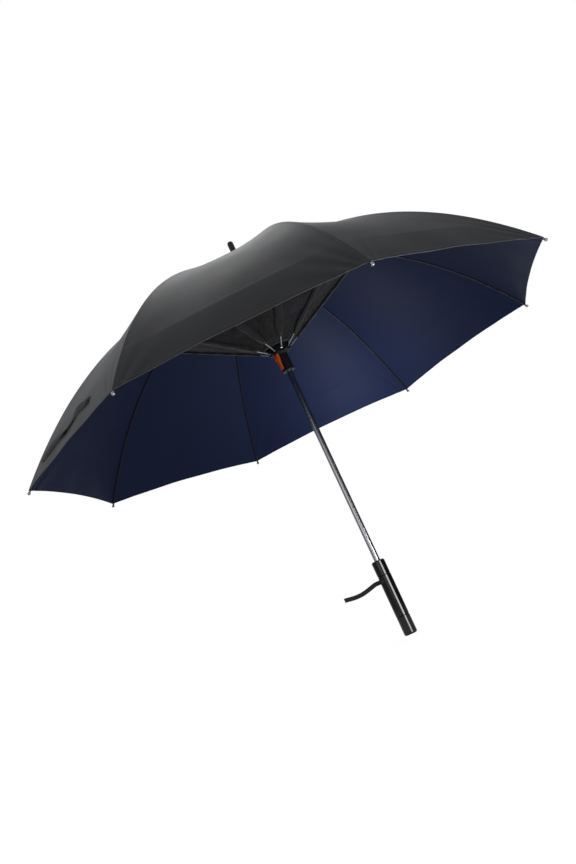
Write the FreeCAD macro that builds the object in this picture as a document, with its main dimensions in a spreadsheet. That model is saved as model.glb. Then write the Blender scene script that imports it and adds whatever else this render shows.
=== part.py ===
import FreeCAD, Part
import Sketcher
import math
import os

from FreeCAD import Placement, Rotation, Vector

# Fan umbrella: a manual golf umbrella with eight ribs and a battery fan under its crown.
# Millimetres, +Z up the shaft from the handle's lower end to the ferrule.  Rib 1 points along +X.
# It is drawn open, with the runner at the top of its travel.

SIZES = (
    # canopy and ribs; a size that starts with = follows others
    ("crown_height", 815.4), ("canopy_depth", 291.4), ("rim_height", "=crown_height - canopy_depth"),
    ("open_radius", 563.7), ("meridian_start", 12.0), ("crown_slope_share", 0.0987),
    ("profile_power", 2.57), ("cloth_thickness", 0.35), ("rim_scallop", 5.0), ("seam_gap", 0.5),
    ("rib_diameter", 3.4), ("rib_drop", 3.0), ("bracket_radius", 260.0), ("tip_diameter", 6.4),
    ("tip_overhang", 4.0),
    # crown
    ("hub_radius", 27.0), ("hub_height", 9.5), ("hub_clearance", 0.5),
    ("hub_gap", "=rib_diameter + hub_clearance"), ("eye_radius", 2.4), ("crown_pin_radius", 23.0),
    ("crown_pin_drop", 7.9), ("crown_pin_height", "=crown_height - crown_pin_drop"),
    ("crown_pin_diameter", 2.0), ("crown_eye_thickness", 2.4), ("cap_radius", 15.0),
    ("cap_thickness", 1.5),
    # stretcher bracket and stretcher
    ("bracket_drop", 6.6), ("bracket_back", 12.0), ("bracket_front", 3.2), ("cheek_gap", 2.6),
    ("cheek_thickness", 0.9), ("rivet_diameter", 1.6), ("small_eye_radius", 1.9),
    ("link_thickness", 2.0), ("stretcher_diameter", 3.0), ("link_length", 6.0), ("foot_length", 7.0),
    ("foot_thickness", 1.6), ("foot_pin_length", 5.6), ("foot_pin_diameter", 2.0),
    # shaft and ferrule
    ("shaft_diameter", 12.0), ("shaft_wall", 0.9), ("running_gap", 0.08), ("ferrule_diameter", 12.6),
    ("ferrule_stem", 20.0), ("ferrule_flange_radius", 8.0), ("ferrule_rise", 64.6),
    ("overall_length", "=crown_height + ferrule_rise"),
    # runner and latch
    ("runner_drop", 197.4), ("runner_pin_height", "=crown_height - runner_drop"),
    ("runner_pin_radius", 20.0), ("runner_ring_radius", 22.5), ("runner_ring_core", 16.6),
    ("runner_ring_rise", 5.0), ("runner_ring_top", "=runner_pin_height + runner_ring_rise"),
    ("runner_ring_bottom", "=runner_pin_height - runner_ring_rise"), ("runner_length", 51.0),
    ("runner_bottom", "=runner_ring_top - runner_length"), ("runner_wall", 6.0),
    ("runner_radius", "=shaft_diameter / 2 + runner_wall"), ("flange_lip", 1.8),
    ("runner_flange_radius", "=runner_radius + flange_lip"), ("runner_flange_height", 4.0),
    ("latch_width", 10.0), ("latch_foot_width", 6.4), ("latch_height", 34.0), ("latch_rise", 5.5),
    ("latch_base", "=runner_bottom + latch_rise"), ("latch_stand", 6.5),
    ("latch_reach", "=runner_radius + latch_stand"), ("latch_bearing", 157.5),
    ("latch_pin_diameter", 1.6), ("pocket_wall", 1.52),
    ("latch_pocket_floor", "=shaft_diameter / 2 + running_gap + pocket_wall"),
    # handle
    ("handle_length", 152.0), ("cap_length", 38.0), ("collar_foot", 122.0), ("groove_depth", 0.9),
    ("cell_diameter", 18.6), ("cell_length", 65.0), ("cell_foot", 14.0), ("neck_wall", 1.7),
    ("neck_radius", "=cell_diameter / 2 + 0.3 + neck_wall"), ("neck_length", 10.0),
    ("cap_wall", 1.9), ("grip_diameter", "=2 * (neck_radius + cap_wall)"), ("end_round", 4.0),
    ("shaft_seat", 11.0), ("shaft_foot", "=cell_foot + cell_length + shaft_seat"),
    ("button_diameter", 8.0), ("button_height", 137.0), ("button_bearing", 27.0),
    ("button_travel", 0.8), ("strap_height", 112.0), ("strap_bearing", 162.0),
    ("strap_post_radius", 2.0), ("strap_head_radius", 5.0), ("strap_width", 8.5),
    ("strap_thickness", 2.4), ("strap_length", 84.0),
    # fan
    ("fan_drop", 175.4), ("motor_foot", "=crown_height - fan_drop"), ("motor_radius", 20.0),
    ("motor_height", 48.0), ("rotor_gap", 2.0), ("rotor_radius", 18.5), ("rotor_height", 24.0),
    ("blade_pin_radius", 22.3), ("blade_reach", 98.0), ("blade_chord", 22.0),
    ("blade_thickness", 1.6), ("blade_pitch", 12.0), ("blade_pin_diameter", 1.6),
    ("lead_diameter", 2.4),
    # net and closing strap
    ("net_thickness", 0.4), ("net_lift", 2.8), ("net_outer_radius", 244.0),
    ("net_inner_radius", 27.0), ("tie_width", 14.0), ("tie_lift", 1.4),
)
RIBS = 8
BLADES = 3
TURN = 360.0 / RIBS
Z_AXIS = Vector(0, 0, 1)

doc = FreeCAD.newDocument("FanUmbrella")
sheet = doc.addObject("Spreadsheet::Sheet", "Sizes")
for row, (alias, _) in enumerate(SIZES, 1):
    sheet.set(f"A{row}", alias)
    sheet.setAlias(f"B{row}", alias)
for row, (_, value) in enumerate(SIZES, 1):
    sheet.set(f"B{row}", str(value))
doc.recompute()
kept = []


def mm(alias):
    """A driving size, read from the sheet."""
    return float(sheet.get(alias))


def cell(text):
    """Prefix each size name in a formula with the sheet's name."""
    names = sorted((alias for alias, _ in SIZES), key=len, reverse=True)
    words, word = [], ""
    for letter in text + " ":
        if letter.isalnum() or letter == "_":
            word += letter
            continue
        words.append("Sizes." + word if word in names else word)
        words.append(letter)
        word = ""
    return "".join(words).strip()


def origin_plane(body, role):
    return next(f for f in body.Origin.OriginFeatures if f.Role == role)


def outline_sketch(body, name, role, points):
    """A closed outline whose corners are (across, up) formulas of the sheet's sizes."""
    sketch = body.newObject("Sketcher::SketchObject", name)
    sketch.AttachmentSupport = [(origin_plane(body, role), "")]
    sketch.MapMode = "FlatFace"
    places = [Vector(*(float(sketch.evalExpression(cell(text))) for text in point), 0) for point in points]
    for start, end in zip(places, places[1:] + places[:1]):
        sketch.addGeometry(Part.LineSegment(start, end), False)
    count = len(points)
    for index in range(count):
        sketch.addConstraint(Sketcher.Constraint("Coincident", index, 2, (index + 1) % count, 1))
    for index, (point, place) in enumerate(zip(points, places)):
        for text, kind, value, axis in zip(point, ("DistanceX", "DistanceY"), place, (-2, -1)):
            if text == "0":
                sketch.addConstraint(Sketcher.Constraint("PointOnObject", index, 1, axis))
                continue
            number = sketch.addConstraint(Sketcher.Constraint(kind, -1, 1, index, 1, value))
            sketch.setExpression(f"Constraints[{number}]", cell(text))
    return sketch


def turned(label, points):
    """A PartDesign body: an outline of (radius, height) formulas turned about the shaft's axis."""
    body = doc.addObject("PartDesign::Body", label)
    body.Label = label
    sketch = outline_sketch(body, label + "_outline", "XZ_Plane", points)
    turn = body.newObject("PartDesign::Revolution", label + "_turn")
    turn.Profile = sketch
    turn.ReferenceAxis = (sketch, ["V_Axis"])
    turn.Angle = 360.0
    sketch.Visibility = False
    kept.append(body)
    doc.recompute()
    return body


def through_pocket(body, name, role, points, both=True):
    """A pocket through the body, from an outline drawn on one of its origin planes."""
    sketch = outline_sketch(body, name + "_outline", role, points)
    pocket = body.newObject("PartDesign::Pocket", name)
    pocket.Profile = sketch
    pocket.Type = "ThroughAll"
    pocket.Midplane = both
    doc.recompute()
    return pocket


def patterned(body, name, features, count):
    """A polar pattern of features about the body's own Z axis."""
    pattern = body.newObject("PartDesign::PolarPattern", name)
    pattern.Originals = features
    pattern.Axis = (next(f for f in body.Origin.OriginFeatures if f.Role == "Z_Axis"), [""])
    pattern.Angle = 360.0
    pattern.Occurrences = count
    body.Tip = pattern
    doc.recompute()
    return pattern


def edges_at(shape, radius, height):
    """Names of the circular edges about the shaft's axis with this radius at this height."""
    return [f"Edge{number}" for number, edge in enumerate(shape.Edges, 1)
            if hasattr(edge.Curve, "Radius") and abs(edge.Curve.Radius - radius) < 1e-3
            and abs(edge.Curve.Center.z - height) < 1e-3]


def rounded(body, radius, height, formula):
    """A fillet on the body's rim of that radius and height."""
    base = body.Tip
    fillet = body.newObject("PartDesign::Fillet", body.Label + "_round")
    fillet.Base = (base, edges_at(base.Shape, radius, height))
    fillet.setExpression("Radius", cell(formula))
    doc.recompute()


def shaped(label, shape, placement=None):
    """A Part::Feature for a piece that Part's own functions make."""
    feature = doc.addObject("Part::Feature", label)
    feature.Label = label
    feature.Shape = shape
    feature.Placement = placement or Placement()
    kept.append(feature)
    return feature


def bearing(degrees, pull=Vector()):
    """The placement that swings a piece drawn along +X round to a bearing."""
    turn = Rotation(Z_AXIS, degrees)
    return Placement(turn.multVec(pull), turn)


def fused(shapes):
    whole = shapes[0].multiFuse(shapes[1:]).removeSplitter()
    return whole.Solids[0] if len(whole.Solids) == 1 else whole


def rod(start, end, diameter):
    """A round bar from one point to another."""
    return Part.makeCylinder(diameter / 2, (end - start).Length, start, end - start)


def cross_pin(place, diameter, length):
    """A pin along Y, centred on a point of the XZ plane."""
    return Part.makeCylinder(diameter / 2, length, place - Vector(0, length / 2, 0), Vector(0, 1, 0))


def plate(points, thickness):
    """A flat plate in the XZ plane, centred on it, from its corner points."""
    corners = [Vector(p.x, -thickness / 2, p.z) for p in points]
    face = Part.Face(Part.makePolygon(corners + corners[:1]))
    return face.extrude(Vector(0, thickness, 0))


def link_plate(start, end, half_width, thickness):
    """A straight plate between two points of the XZ plane, round at its start."""
    along = (end - start).normalize()
    side = Vector(-along.z, 0, along.x) * half_width
    bar = plate([start + side, end + side, end - side, start - side], thickness)
    return bar.fuse(cross_pin(start, 2 * half_width, thickness))


# ---- the canopy's meridian: a chain of tangent arcs -------------------------------------------

def cloth_slope(radius):
    """Downward slope of the cloth over a rib, in radians, from the crown's share and the power."""
    run = mm("open_radius") - mm("meridian_start")
    share = max(radius - mm("meridian_start"), 0.0) / run
    first, power = mm("crown_slope_share"), mm("profile_power")
    steep = first + (1 - first) * power * share ** (power - 1)
    return math.atan((mm("crown_height") - mm("rim_height")) / run * steep)


def meridian_arcs():
    """Tangent arcs from the crown to the rim, as (centre radius, centre height, radius, slopes)."""
    start, bracket, rim = mm("meridian_start"), mm("bracket_radius"), mm("open_radius")
    stops = [start, (start + bracket) / 2, bracket]
    stops += [bracket + (rim - bracket) * third / 3 for third in (1, 2, 3)]
    arcs, height = [], mm("crown_height")
    for inner, outer in zip(stops, stops[1:]):
        first, last = cloth_slope(inner), cloth_slope(outer)
        radius = (outer - inner) / (math.sin(last) - math.sin(first))
        centre = (inner - radius * math.sin(first), height - radius * math.cos(first))
        arcs.append((*centre, radius, first, last))
        height = centre[1] + radius * math.cos(last)
    return arcs


ARCS = meridian_arcs()


def on_arc(arc, slope, drop):
    """The point of an arc at a slope, moved down square to the cloth by a drop."""
    radius = arc[2] - drop
    return Vector(arc[0] + radius * math.sin(slope), 0, arc[1] + radius * math.cos(slope))


def at_radius(radius, drop=0.0):
    """Point and slope of the cloth's meridian above a radius, moved down by a drop."""
    arc = next((a for a in ARCS if a[0] + a[2] * math.sin(a[4]) >= radius - 1e-6), ARCS[-1])
    slope = math.asin((radius - arc[0]) / arc[2])
    return on_arc(arc, slope, drop), slope


def rib_rod(first_radius, last_radius):
    """A rib's round rod under the cloth, as a circle carried along the meridian's arcs."""
    drop = mm("rib_drop")
    low, high = at_radius(first_radius)[1], at_radius(last_radius)[1]
    edges = []
    for arc in ARCS:
        a, b = max(low, arc[3]), min(high, arc[4])
        if b - a > 1e-6:
            points = (on_arc(arc, angle, drop) for angle in (a, (a + b) / 2, b))
            edges.append(Part.Arc(*points).toShape())
    path = Part.Wire(edges)
    start, slope = at_radius(first_radius, drop)
    circle = Part.Circle(start, Vector(math.cos(slope), 0, -math.sin(slope)), mm("rib_diameter") / 2)
    return path.makePipeShell([Part.Wire(circle.toShape())], True, False)


# ---- places that several pieces share ---------------------------------------------------------

CROWN_PIN = Vector(mm("crown_pin_radius"), 0, mm("crown_pin_height"))
FLEX_PIN, BRACKET_SLOPE = at_radius(mm("bracket_radius"), mm("rib_drop"))
RIB_ALONG = Vector(math.cos(BRACKET_SLOPE), 0, -math.sin(BRACKET_SLOPE))
RIB_UP = Vector(math.sin(BRACKET_SLOPE), 0, math.cos(BRACKET_SLOPE))
BRACKET_PIN = FLEX_PIN - RIB_UP * mm("bracket_drop")
RUNNER_PIN = Vector(mm("runner_pin_radius"), 0, mm("runner_pin_height"))


def rib_place(along, up):
    """A point beside the bracket, from distances along the rib and square to it."""
    return FLEX_PIN + RIB_ALONG * along + RIB_UP * up


# ---- ribs --------------------------------------------------------------------------------------

def inner_rib():
    """Rod, crown eye, and the bracket's two cheeks with their rivets."""
    eye_end = mm("hub_radius") + 1.0
    joint, _ = at_radius(eye_end + 3.0, mm("rib_drop"))
    eye = link_plate(CROWN_PIN, joint, mm("eye_radius") * 0.8, mm("crown_eye_thickness"))
    eye = eye.fuse(cross_pin(CROWN_PIN, 2 * mm("eye_radius"), mm("crown_eye_thickness")))
    eye = eye.cut(cross_pin(CROWN_PIN, mm("crown_pin_diameter") + 2 * mm("running_gap"), 20))
    back, front = -mm("bracket_back"), mm("bracket_front")
    web_end = back + 5.0
    bar = rib_rod(eye_end, mm("bracket_radius") - mm("bracket_back") + 3.0)
    top, foot = mm("rib_diameter") / 2, -mm("bracket_drop") - 2.3
    width = mm("cheek_gap") + 2 * mm("cheek_thickness")
    outline = [rib_place(back, top), rib_place(front, top), rib_place(front, foot),
               rib_place(-4.0, foot), rib_place(back, -top)]
    block = plate(outline, width)
    over = 9.0
    gap = plate([rib_place(web_end, over), rib_place(over, over), rib_place(over, foot - over),
                 rib_place(web_end, foot - over)], mm("cheek_gap"))
    rivets = [cross_pin(place, mm("rivet_diameter"), width) for place in (FLEX_PIN, BRACKET_PIN)]
    return fused([eye, bar, block.cut(gap)] + rivets)


def outer_rib():
    """Link plate at the bracket, then the flexible rod to its ball tip."""
    start = mm("bracket_radius") + mm("link_length")
    link_end, _ = at_radius(start + 2.5, mm("rib_drop"))
    link = link_plate(FLEX_PIN, link_end, 1.4, mm("link_thickness"))
    link = link.fuse(cross_pin(FLEX_PIN, 2 * mm("small_eye_radius"), mm("link_thickness")))
    link = link.cut(cross_pin(FLEX_PIN, mm("rivet_diameter") + 2 * mm("running_gap"), 20))
    tip_place, slope = at_radius(mm("open_radius") - 1.0, mm("rib_drop"))
    along = Vector(math.cos(slope), 0, -math.sin(slope))
    ball = Part.makeSphere(mm("tip_diameter") / 2, tip_place)
    sleeve = rod(tip_place - along * 9.0, tip_place, mm("rib_diameter") + 0.5)
    return fused([link, rib_rod(start, mm("open_radius") - 1.0), sleeve, ball])


def stretcher():
    """Straight round stretcher with an eye in the bracket and a pinned foot in the runner."""
    along = (RUNNER_PIN - BRACKET_PIN).normalize()
    gap = 2 * mm("running_gap")
    top = link_plate(BRACKET_PIN, BRACKET_PIN + along * (mm("link_length") + 2), 1.4, mm("link_thickness"))
    top = top.fuse(cross_pin(BRACKET_PIN, 2 * mm("small_eye_radius"), mm("link_thickness")))
    top = top.cut(cross_pin(BRACKET_PIN, mm("rivet_diameter") + gap, 20))
    foot = link_plate(RUNNER_PIN, RUNNER_PIN - along * (mm("foot_length") + 2), 1.4, mm("foot_thickness"))
    foot = foot.fuse(cross_pin(RUNNER_PIN, 2 * mm("small_eye_radius"), mm("foot_thickness")))
    pin = cross_pin(RUNNER_PIN, mm("foot_pin_diameter"), mm("foot_pin_length"))
    bar = rod(BRACKET_PIN + along * mm("link_length"), RUNNER_PIN - along * mm("foot_length"),
              mm("stretcher_diameter"))
    return fused([top, bar, foot, pin])


def panel_point(radius, across, lift=0.0):
    """A point of a cloth panel centred on +X: level chords between two ribs' meridians."""
    half = math.radians(TURN / 2)
    place, slope = at_radius(radius)
    reach = radius * math.sin(half) - mm("seam_gap")
    return Vector(radius * math.cos(half) + lift * math.sin(slope), across * reach,
                  place.z + lift * math.cos(slope))


def canopy_panel():
    """One cloth gore: chords between neighbouring ribs, its rim scalloped between the tips."""
    rows, columns = 22, 9
    start, rim = mm("meridian_start"), mm("open_radius") - mm("tip_overhang")
    grid = []
    for row in range(rows):
        line = []
        for column in range(columns):
            across = 2 * column / (columns - 1) - 1
            last = rim - mm("rim_scallop") * (1 - across ** 2)
            line.append(panel_point(start + (last - start) * row / (rows - 1), across))
        grid.append(line)
    surface = Part.BSplineSurface()
    surface.interpolate(grid)
    return surface.toShape().extrude(Vector(0, 0, -mm("cloth_thickness")))


def tie_strap():
    """The closing strap: a flat band laid along the outside of a panel, near its rim."""
    half = mm("tie_width") / 2
    lift = mm("tie_lift")
    rail = ((530.0, -0.80), (531.0, -0.50), (528.0, -0.20), (525.0, 0.08), (520.0, 0.37))
    low = [panel_point(radius + half * 0.6, across, lift) for radius, across in rail]
    high = [panel_point(radius - half * 0.6, across, lift) for radius, across in rail]
    curves = []
    for points in (low, high):
        curve = Part.BSplineCurve()
        curve.interpolate(points)
        curves.append(curve.toShape())
    return Part.makeRuledSurface(*curves).extrude(Vector(0, 0, 1.2))


def net_sector():
    """A flat net facet between two stretchers, raised just above them."""
    half = math.radians(TURN / 2)
    rise = (BRACKET_PIN.z - RUNNER_PIN.z) / (BRACKET_PIN.x - RUNNER_PIN.x)
    corners = []
    for radius, side in ((mm("net_inner_radius"), -1), (mm("net_outer_radius"), -1),
                         (mm("net_outer_radius"), 1), (mm("net_inner_radius"), 1)):
        height = RUNNER_PIN.z + (radius - RUNNER_PIN.x) * rise + mm("net_lift")
        corners.append(Vector(radius * math.cos(half), side * (radius * math.sin(half) - 0.5), height))
    face = Part.Face(Part.makePolygon(corners + corners[:1]))
    return face.extrude(Vector(0, 0, mm("net_thickness")))


inner_shape, outer_shape, stretcher_shape = inner_rib(), outer_rib(), stretcher()
panel_shape, sector_shape = canopy_panel(), net_sector()
for number in range(RIBS):
    way = bearing(number * TURN)
    between = bearing((number + 0.5) * TURN)
    shaped(f"rib_inner_{number + 1}", inner_shape, way)
    shaped(f"rib_outer_{number + 1}", outer_shape, way)
    shaped(f"stretcher_{number + 1}", stretcher_shape, way)
    shaped(f"canopy_panel_{number + 1}", panel_shape, between)

sectors = []
for number in range(RIBS):
    sector = sector_shape.copy()
    sector.Placement = bearing((number + 0.5) * TURN)
    sectors.append(sector)
shaped("fan_guard_net", Part.makeCompound(sectors))
shaped("tie_strap", tie_strap(), bearing(3.5 * TURN))

# ---- shaft, crown and ferrule ------------------------------------------------------------------

SHAFT_TOP = "(crown_height + cap_thickness + 1.1)"
turned("shaft_tube", [
    ("shaft_diameter / 2 - shaft_wall", "shaft_foot"), ("shaft_diameter / 2", "shaft_foot"),
    ("shaft_diameter / 2", SHAFT_TOP), ("shaft_diameter / 2 - shaft_wall", SHAFT_TOP)])
HUB_TOP = "(crown_height - 4)"
HUB_FOOT = HUB_TOP + " - hub_height"
HUB_CORE = "crown_pin_radius - eye_radius - 0.8"
hub = turned("crown_hub", [
    ("shaft_diameter / 2", HUB_FOOT + " - 6"), ("shaft_diameter / 2 + 3", HUB_FOOT + " - 6"),
    (HUB_CORE + " - 1.8", HUB_FOOT), ("hub_radius", HUB_FOOT),
    ("hub_radius", HUB_TOP), ("shaft_diameter / 2", HUB_TOP)])
slot = through_pocket(hub, "crown_slot", "XY_Plane", [
    (HUB_CORE, "-hub_gap / 2"), ("hub_radius + 5", "-hub_gap / 2"),
    ("hub_radius + 5", "hub_gap / 2"), (HUB_CORE, "hub_gap / 2")])
bore_sketch = hub.newObject("Sketcher::SketchObject", "pin_bore_outline")
bore_sketch.AttachmentSupport = [(origin_plane(hub, "XZ_Plane"), "")]
bore_sketch.MapMode = "FlatFace"
bore_centre = Vector(CROWN_PIN.x, CROWN_PIN.z, 0)
bore_sketch.addGeometry(Part.Circle(bore_centre, Z_AXIS, mm("crown_pin_diameter") / 2))
for kind, spot, formula in (("DistanceX", CROWN_PIN.x, "crown_pin_radius"),
                            ("DistanceY", CROWN_PIN.z, "crown_pin_height")):
    index = bore_sketch.addConstraint(Sketcher.Constraint(kind, -1, 1, 0, 3, spot))
    bore_sketch.setExpression(f"Constraints[{index}]", cell(formula))
index = bore_sketch.addConstraint(Sketcher.Constraint("Diameter", 0, mm("crown_pin_diameter")))
bore_sketch.setExpression(f"Constraints[{index}]", cell("crown_pin_diameter"))
bore = hub.newObject("PartDesign::Pocket", "pin_bore")
bore.Profile = bore_sketch
bore.Midplane = True
bore.setExpression("Length", cell("hub_gap + 5"))
doc.recompute()
patterned(hub, "crown_slots", [slot, bore], RIBS)

pins = []
for number in range(RIBS):
    pin = cross_pin(CROWN_PIN, mm("crown_pin_diameter"), mm("hub_gap") + 4.8)
    pin.Placement = bearing(number * TURN)
    pins.append(pin)
shaped("crown_pins", Part.makeCompound(pins))

turned("canopy_cap", [
    ("shaft_diameter / 2", "crown_height + 0.6"), ("cap_radius", "crown_height + 0.6"),
    ("cap_radius - 1", "crown_height + 0.6 + cap_thickness"),
    ("shaft_diameter / 2", "crown_height + 0.6 + cap_thickness")])
CAP_TOP = "(crown_height + 0.6 + cap_thickness)"
ferrule = turned("ferrule", [
    ("0", SHAFT_TOP + " - ferrule_stem"), ("shaft_diameter / 2 - shaft_wall", SHAFT_TOP + " - ferrule_stem"),
    ("shaft_diameter / 2 - shaft_wall", SHAFT_TOP), ("shaft_diameter / 2", SHAFT_TOP),
    ("shaft_diameter / 2", CAP_TOP), ("ferrule_flange_radius", CAP_TOP),
    ("ferrule_flange_radius", CAP_TOP + " + 3"), ("ferrule_diameter / 2", CAP_TOP + " + 6"),
    ("ferrule_diameter / 2", "overall_length"), ("0", "overall_length")])
rounded(ferrule, mm("ferrule_diameter") / 2, mm("overall_length"), "ferrule_diameter / 2 - 0.5")

# ---- runner and its latch ----------------------------------------------------------------------

runner = turned("runner", [
    ("shaft_diameter / 2 + running_gap", "runner_bottom"), ("runner_flange_radius", "runner_bottom"),
    ("runner_flange_radius", "runner_bottom + runner_flange_height"),
    ("runner_radius", "runner_bottom + runner_flange_height + 1"),
    ("runner_radius", "runner_ring_bottom - 4"), ("runner_ring_core", "runner_ring_bottom"),
    ("runner_ring_radius", "runner_ring_bottom"), ("runner_ring_radius", "runner_ring_top"),
    ("shaft_diameter / 2 + running_gap", "runner_ring_top")])
SLOT_HALF = "(stretcher_diameter / 2 + 0.5)"
foot_slot = through_pocket(runner, "foot_slot", "XY_Plane", [
    ("runner_ring_core", "-" + SLOT_HALF), ("runner_ring_radius + 5", "-" + SLOT_HALF),
    ("runner_ring_radius + 5", SLOT_HALF), ("runner_ring_core", SLOT_HALF)])
PIN_ROOM = "(foot_pin_diameter / 2 + 0.4)"
pin_sketch = outline_sketch(runner, "foot_pin_recess_outline", "XZ_Plane", [
    ("runner_pin_radius - " + PIN_ROOM, "runner_ring_bottom - 6"),
    ("runner_ring_radius + 5", "runner_ring_bottom - 6"),
    ("runner_ring_radius + 5", "runner_pin_height + " + PIN_ROOM),
    ("runner_pin_radius - " + PIN_ROOM, "runner_pin_height + " + PIN_ROOM)])
recess = runner.newObject("PartDesign::Pocket", "foot_pin_recess")
recess.Profile = pin_sketch
recess.Midplane = True
recess.setExpression("Length", cell("foot_pin_length + 0.8"))
doc.recompute()
patterned(runner, "foot_slots", [foot_slot, recess], RIBS)

LATCH_TOP = mm("latch_base") + mm("latch_height")
LATCH_PIN = Vector(mm("runner_radius") - 1.7, 0, mm("latch_base") + mm("latch_height") * 0.5)


def latch_pocket():
    """The recess in the runner's barrel that the latch and its spring sit in."""
    width = mm("latch_width") + 1.0
    return Part.makeBox(mm("runner_flange_radius"), width, mm("latch_height") + 2.0,
                        Vector(mm("latch_pocket_floor"), -width / 2, mm("latch_base") - 1.0))


def latch():
    """A lever with a bulged thumb pad at its top and a narrower foot, hung on a cross pin."""
    reach, inner = mm("latch_reach"), mm("runner_radius") - 0.3
    low, top = mm("latch_base"), LATCH_TOP
    side = plate([Vector(inner, 0, low), Vector(reach - 2.2, 0, low), Vector(reach - 1.6, 0, top - 15),
                  Vector(reach, 0, top - 8), Vector(reach - 0.4, 0, top - 2), Vector(reach - 2.4, 0, top),
                  Vector(inner, 0, top)], mm("latch_width"))
    narrow = (mm("latch_width") - mm("latch_foot_width")) / 2
    for sign in (-1, 1):
        edge = sign * mm("latch_width") / 2
        corners = [Vector(0, edge, low - 1), Vector(0, edge - sign * narrow, low - 1),
                   Vector(0, edge - sign * narrow, top - 18), Vector(0, edge, top - 12)]
        face = Part.Face(Part.makePolygon(corners + corners[:1]))
        side = side.cut(face.extrude(Vector(2 * reach, 0, 0)))
    lug = cross_pin(LATCH_PIN, 4.6, mm("latch_foot_width") - 2)
    arm = Part.makeBox(3.0, mm("latch_foot_width") - 2, 4.6,
                       Vector(LATCH_PIN.x, -mm("latch_foot_width") / 2 + 1, LATCH_PIN.z - 2.3))
    lever = fused([side, lug, arm])
    return lever.cut(cross_pin(LATCH_PIN, mm("latch_pin_diameter") + 2 * mm("running_gap"), 40))


def latch_spring():
    """A small leaf spring that pushes the latch's thumb pad outwards."""
    floor, low = mm("latch_pocket_floor"), LATCH_TOP - 12.0
    leaf = plate([Vector(floor, 0, low + 2), Vector(floor + 0.5, 0, low + 2), Vector(floor + 2.4, 0, low + 9),
                  Vector(floor + 1.9, 0, low + 9)], 5.0)
    base = plate([Vector(floor, 0, low), Vector(floor + 0.5, 0, low), Vector(floor + 0.5, 0, low + 2),
                  Vector(floor, 0, low + 2)], 5.0)
    return fused([leaf, base])


latch_way = bearing(mm("latch_bearing"))
pocket_cut = doc.addObject("Part::Feature", "latch_pocket")
pocket_cut.Shape = latch_pocket()
pocket_cut.Placement = latch_way
runner_body = doc.addObject("Part::Cut", "runner_body")
runner_body.Label = "runner_body"
runner_body.Base = runner
runner_body.Tool = pocket_cut
kept[kept.index(runner)] = runner_body
shaped("runner_latch", latch(), latch_way)
shaped("latch_pin", cross_pin(LATCH_PIN, mm("latch_pin_diameter"), mm("latch_width") + 0.9), latch_way)
shaped("latch_spring", latch_spring(), latch_way)

# ---- handle ------------------------------------------------------------------------------------

GRIP = "grip_diameter / 2"
battery_cap = turned("battery_cap", [
    ("0", "0"), (GRIP, "0"), (GRIP, "cap_length - groove_depth"),
    (GRIP + " - groove_depth", "cap_length - 0.15"),
    ("neck_radius + running_gap", "cap_length - 0.15"),
    ("neck_radius + running_gap", "cap_length - neck_length - 0.2"),
    ("cell_diameter / 2 + 0.3", "cap_length - neck_length - 0.2"),
    ("cell_diameter / 2 + 0.3", "end_round"),
    ("0", "end_round")])
rounded(battery_cap, mm("grip_diameter") / 2, 0.0, "end_round - 0.6")
CELL_TOP = "(cell_foot + cell_length)"
turned("handle_grip", [
    ("cell_diameter / 2 + 0.3", "cap_length - neck_length"), ("neck_radius", "cap_length - neck_length"),
    ("neck_radius", "cap_length"), (GRIP + " - groove_depth", "cap_length"),
    (GRIP, "cap_length + groove_depth"), (GRIP, "collar_foot - groove_depth"),
    (GRIP + " - groove_depth", "collar_foot"), ("shaft_diameter / 2", "collar_foot"),
    ("shaft_diameter / 2", "shaft_foot"), ("shaft_diameter / 2 - 2", "shaft_foot"),
    ("shaft_diameter / 2 - 2", CELL_TOP + " + 3"), ("cell_diameter / 2 + 0.3", CELL_TOP + " + 3")])
collar = turned("handle_collar", [
    ("shaft_diameter / 2", "collar_foot"), (GRIP + " - groove_depth", "collar_foot"),
    (GRIP, "collar_foot + groove_depth"), (GRIP, "handle_length - 2"), (GRIP + " - 2", "handle_length"),
    ("shaft_diameter / 2", "handle_length")])
collar.Label = "handle_collar_blank"
button_way = bearing(mm("button_bearing"))
WELL_FLOOR = mm("shaft_diameter") / 2 + 1.2
BUTTON_FLOOR = WELL_FLOOR + 0.2 + mm("button_travel")
BUTTON_FACE = mm("grip_diameter") / 2 + 0.7
well = doc.addObject("Part::Feature", "button_well")
well.Shape = rod(Vector(WELL_FLOOR, 0, mm("button_height")),
                 Vector(2 * BUTTON_FACE, 0, mm("button_height")), mm("button_diameter") + 0.6)
well.Placement = button_way
bored_collar = doc.addObject("Part::Cut", "handle_collar")
bored_collar.Label = "handle_top_collar"
bored_collar.Base = collar
bored_collar.Tool = well
kept[kept.index(collar)] = bored_collar
button = rod(Vector(BUTTON_FLOOR, 0, mm("button_height")),
             Vector(BUTTON_FACE, 0, mm("button_height")), mm("button_diameter"))
shaped("fan_switch_button", button.makeFillet(0.6, [button.Edges[0], button.Edges[2]]), button_way)

turned("battery_cell", [
    ("0", "cell_foot"), ("cell_diameter / 2", "cell_foot"), ("cell_diameter / 2", CELL_TOP + " - 1.5"),
    ("3.2", CELL_TOP + " - 1.5"), ("3.2", CELL_TOP), ("0", CELL_TOP)])


def battery_spring():
    """The coil spring between the cap and the cell: round wire wound into a cone."""
    foot, top = mm("end_round"), mm("cell_foot")
    wire = 0.9
    helix = Part.makeHelix(2.3, top - foot - 2 * wire, 6.0, 5.0)
    helix.Placement = Placement(Vector(0, 0, foot + wire), Rotation())
    circle = Part.Wire(Part.Circle(Vector(6.0, 0, foot + wire), Vector(0, 1, 0), wire / 2).toShape())
    return Part.Wire(helix.Edges).makePipeShell([circle], True, True)


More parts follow.
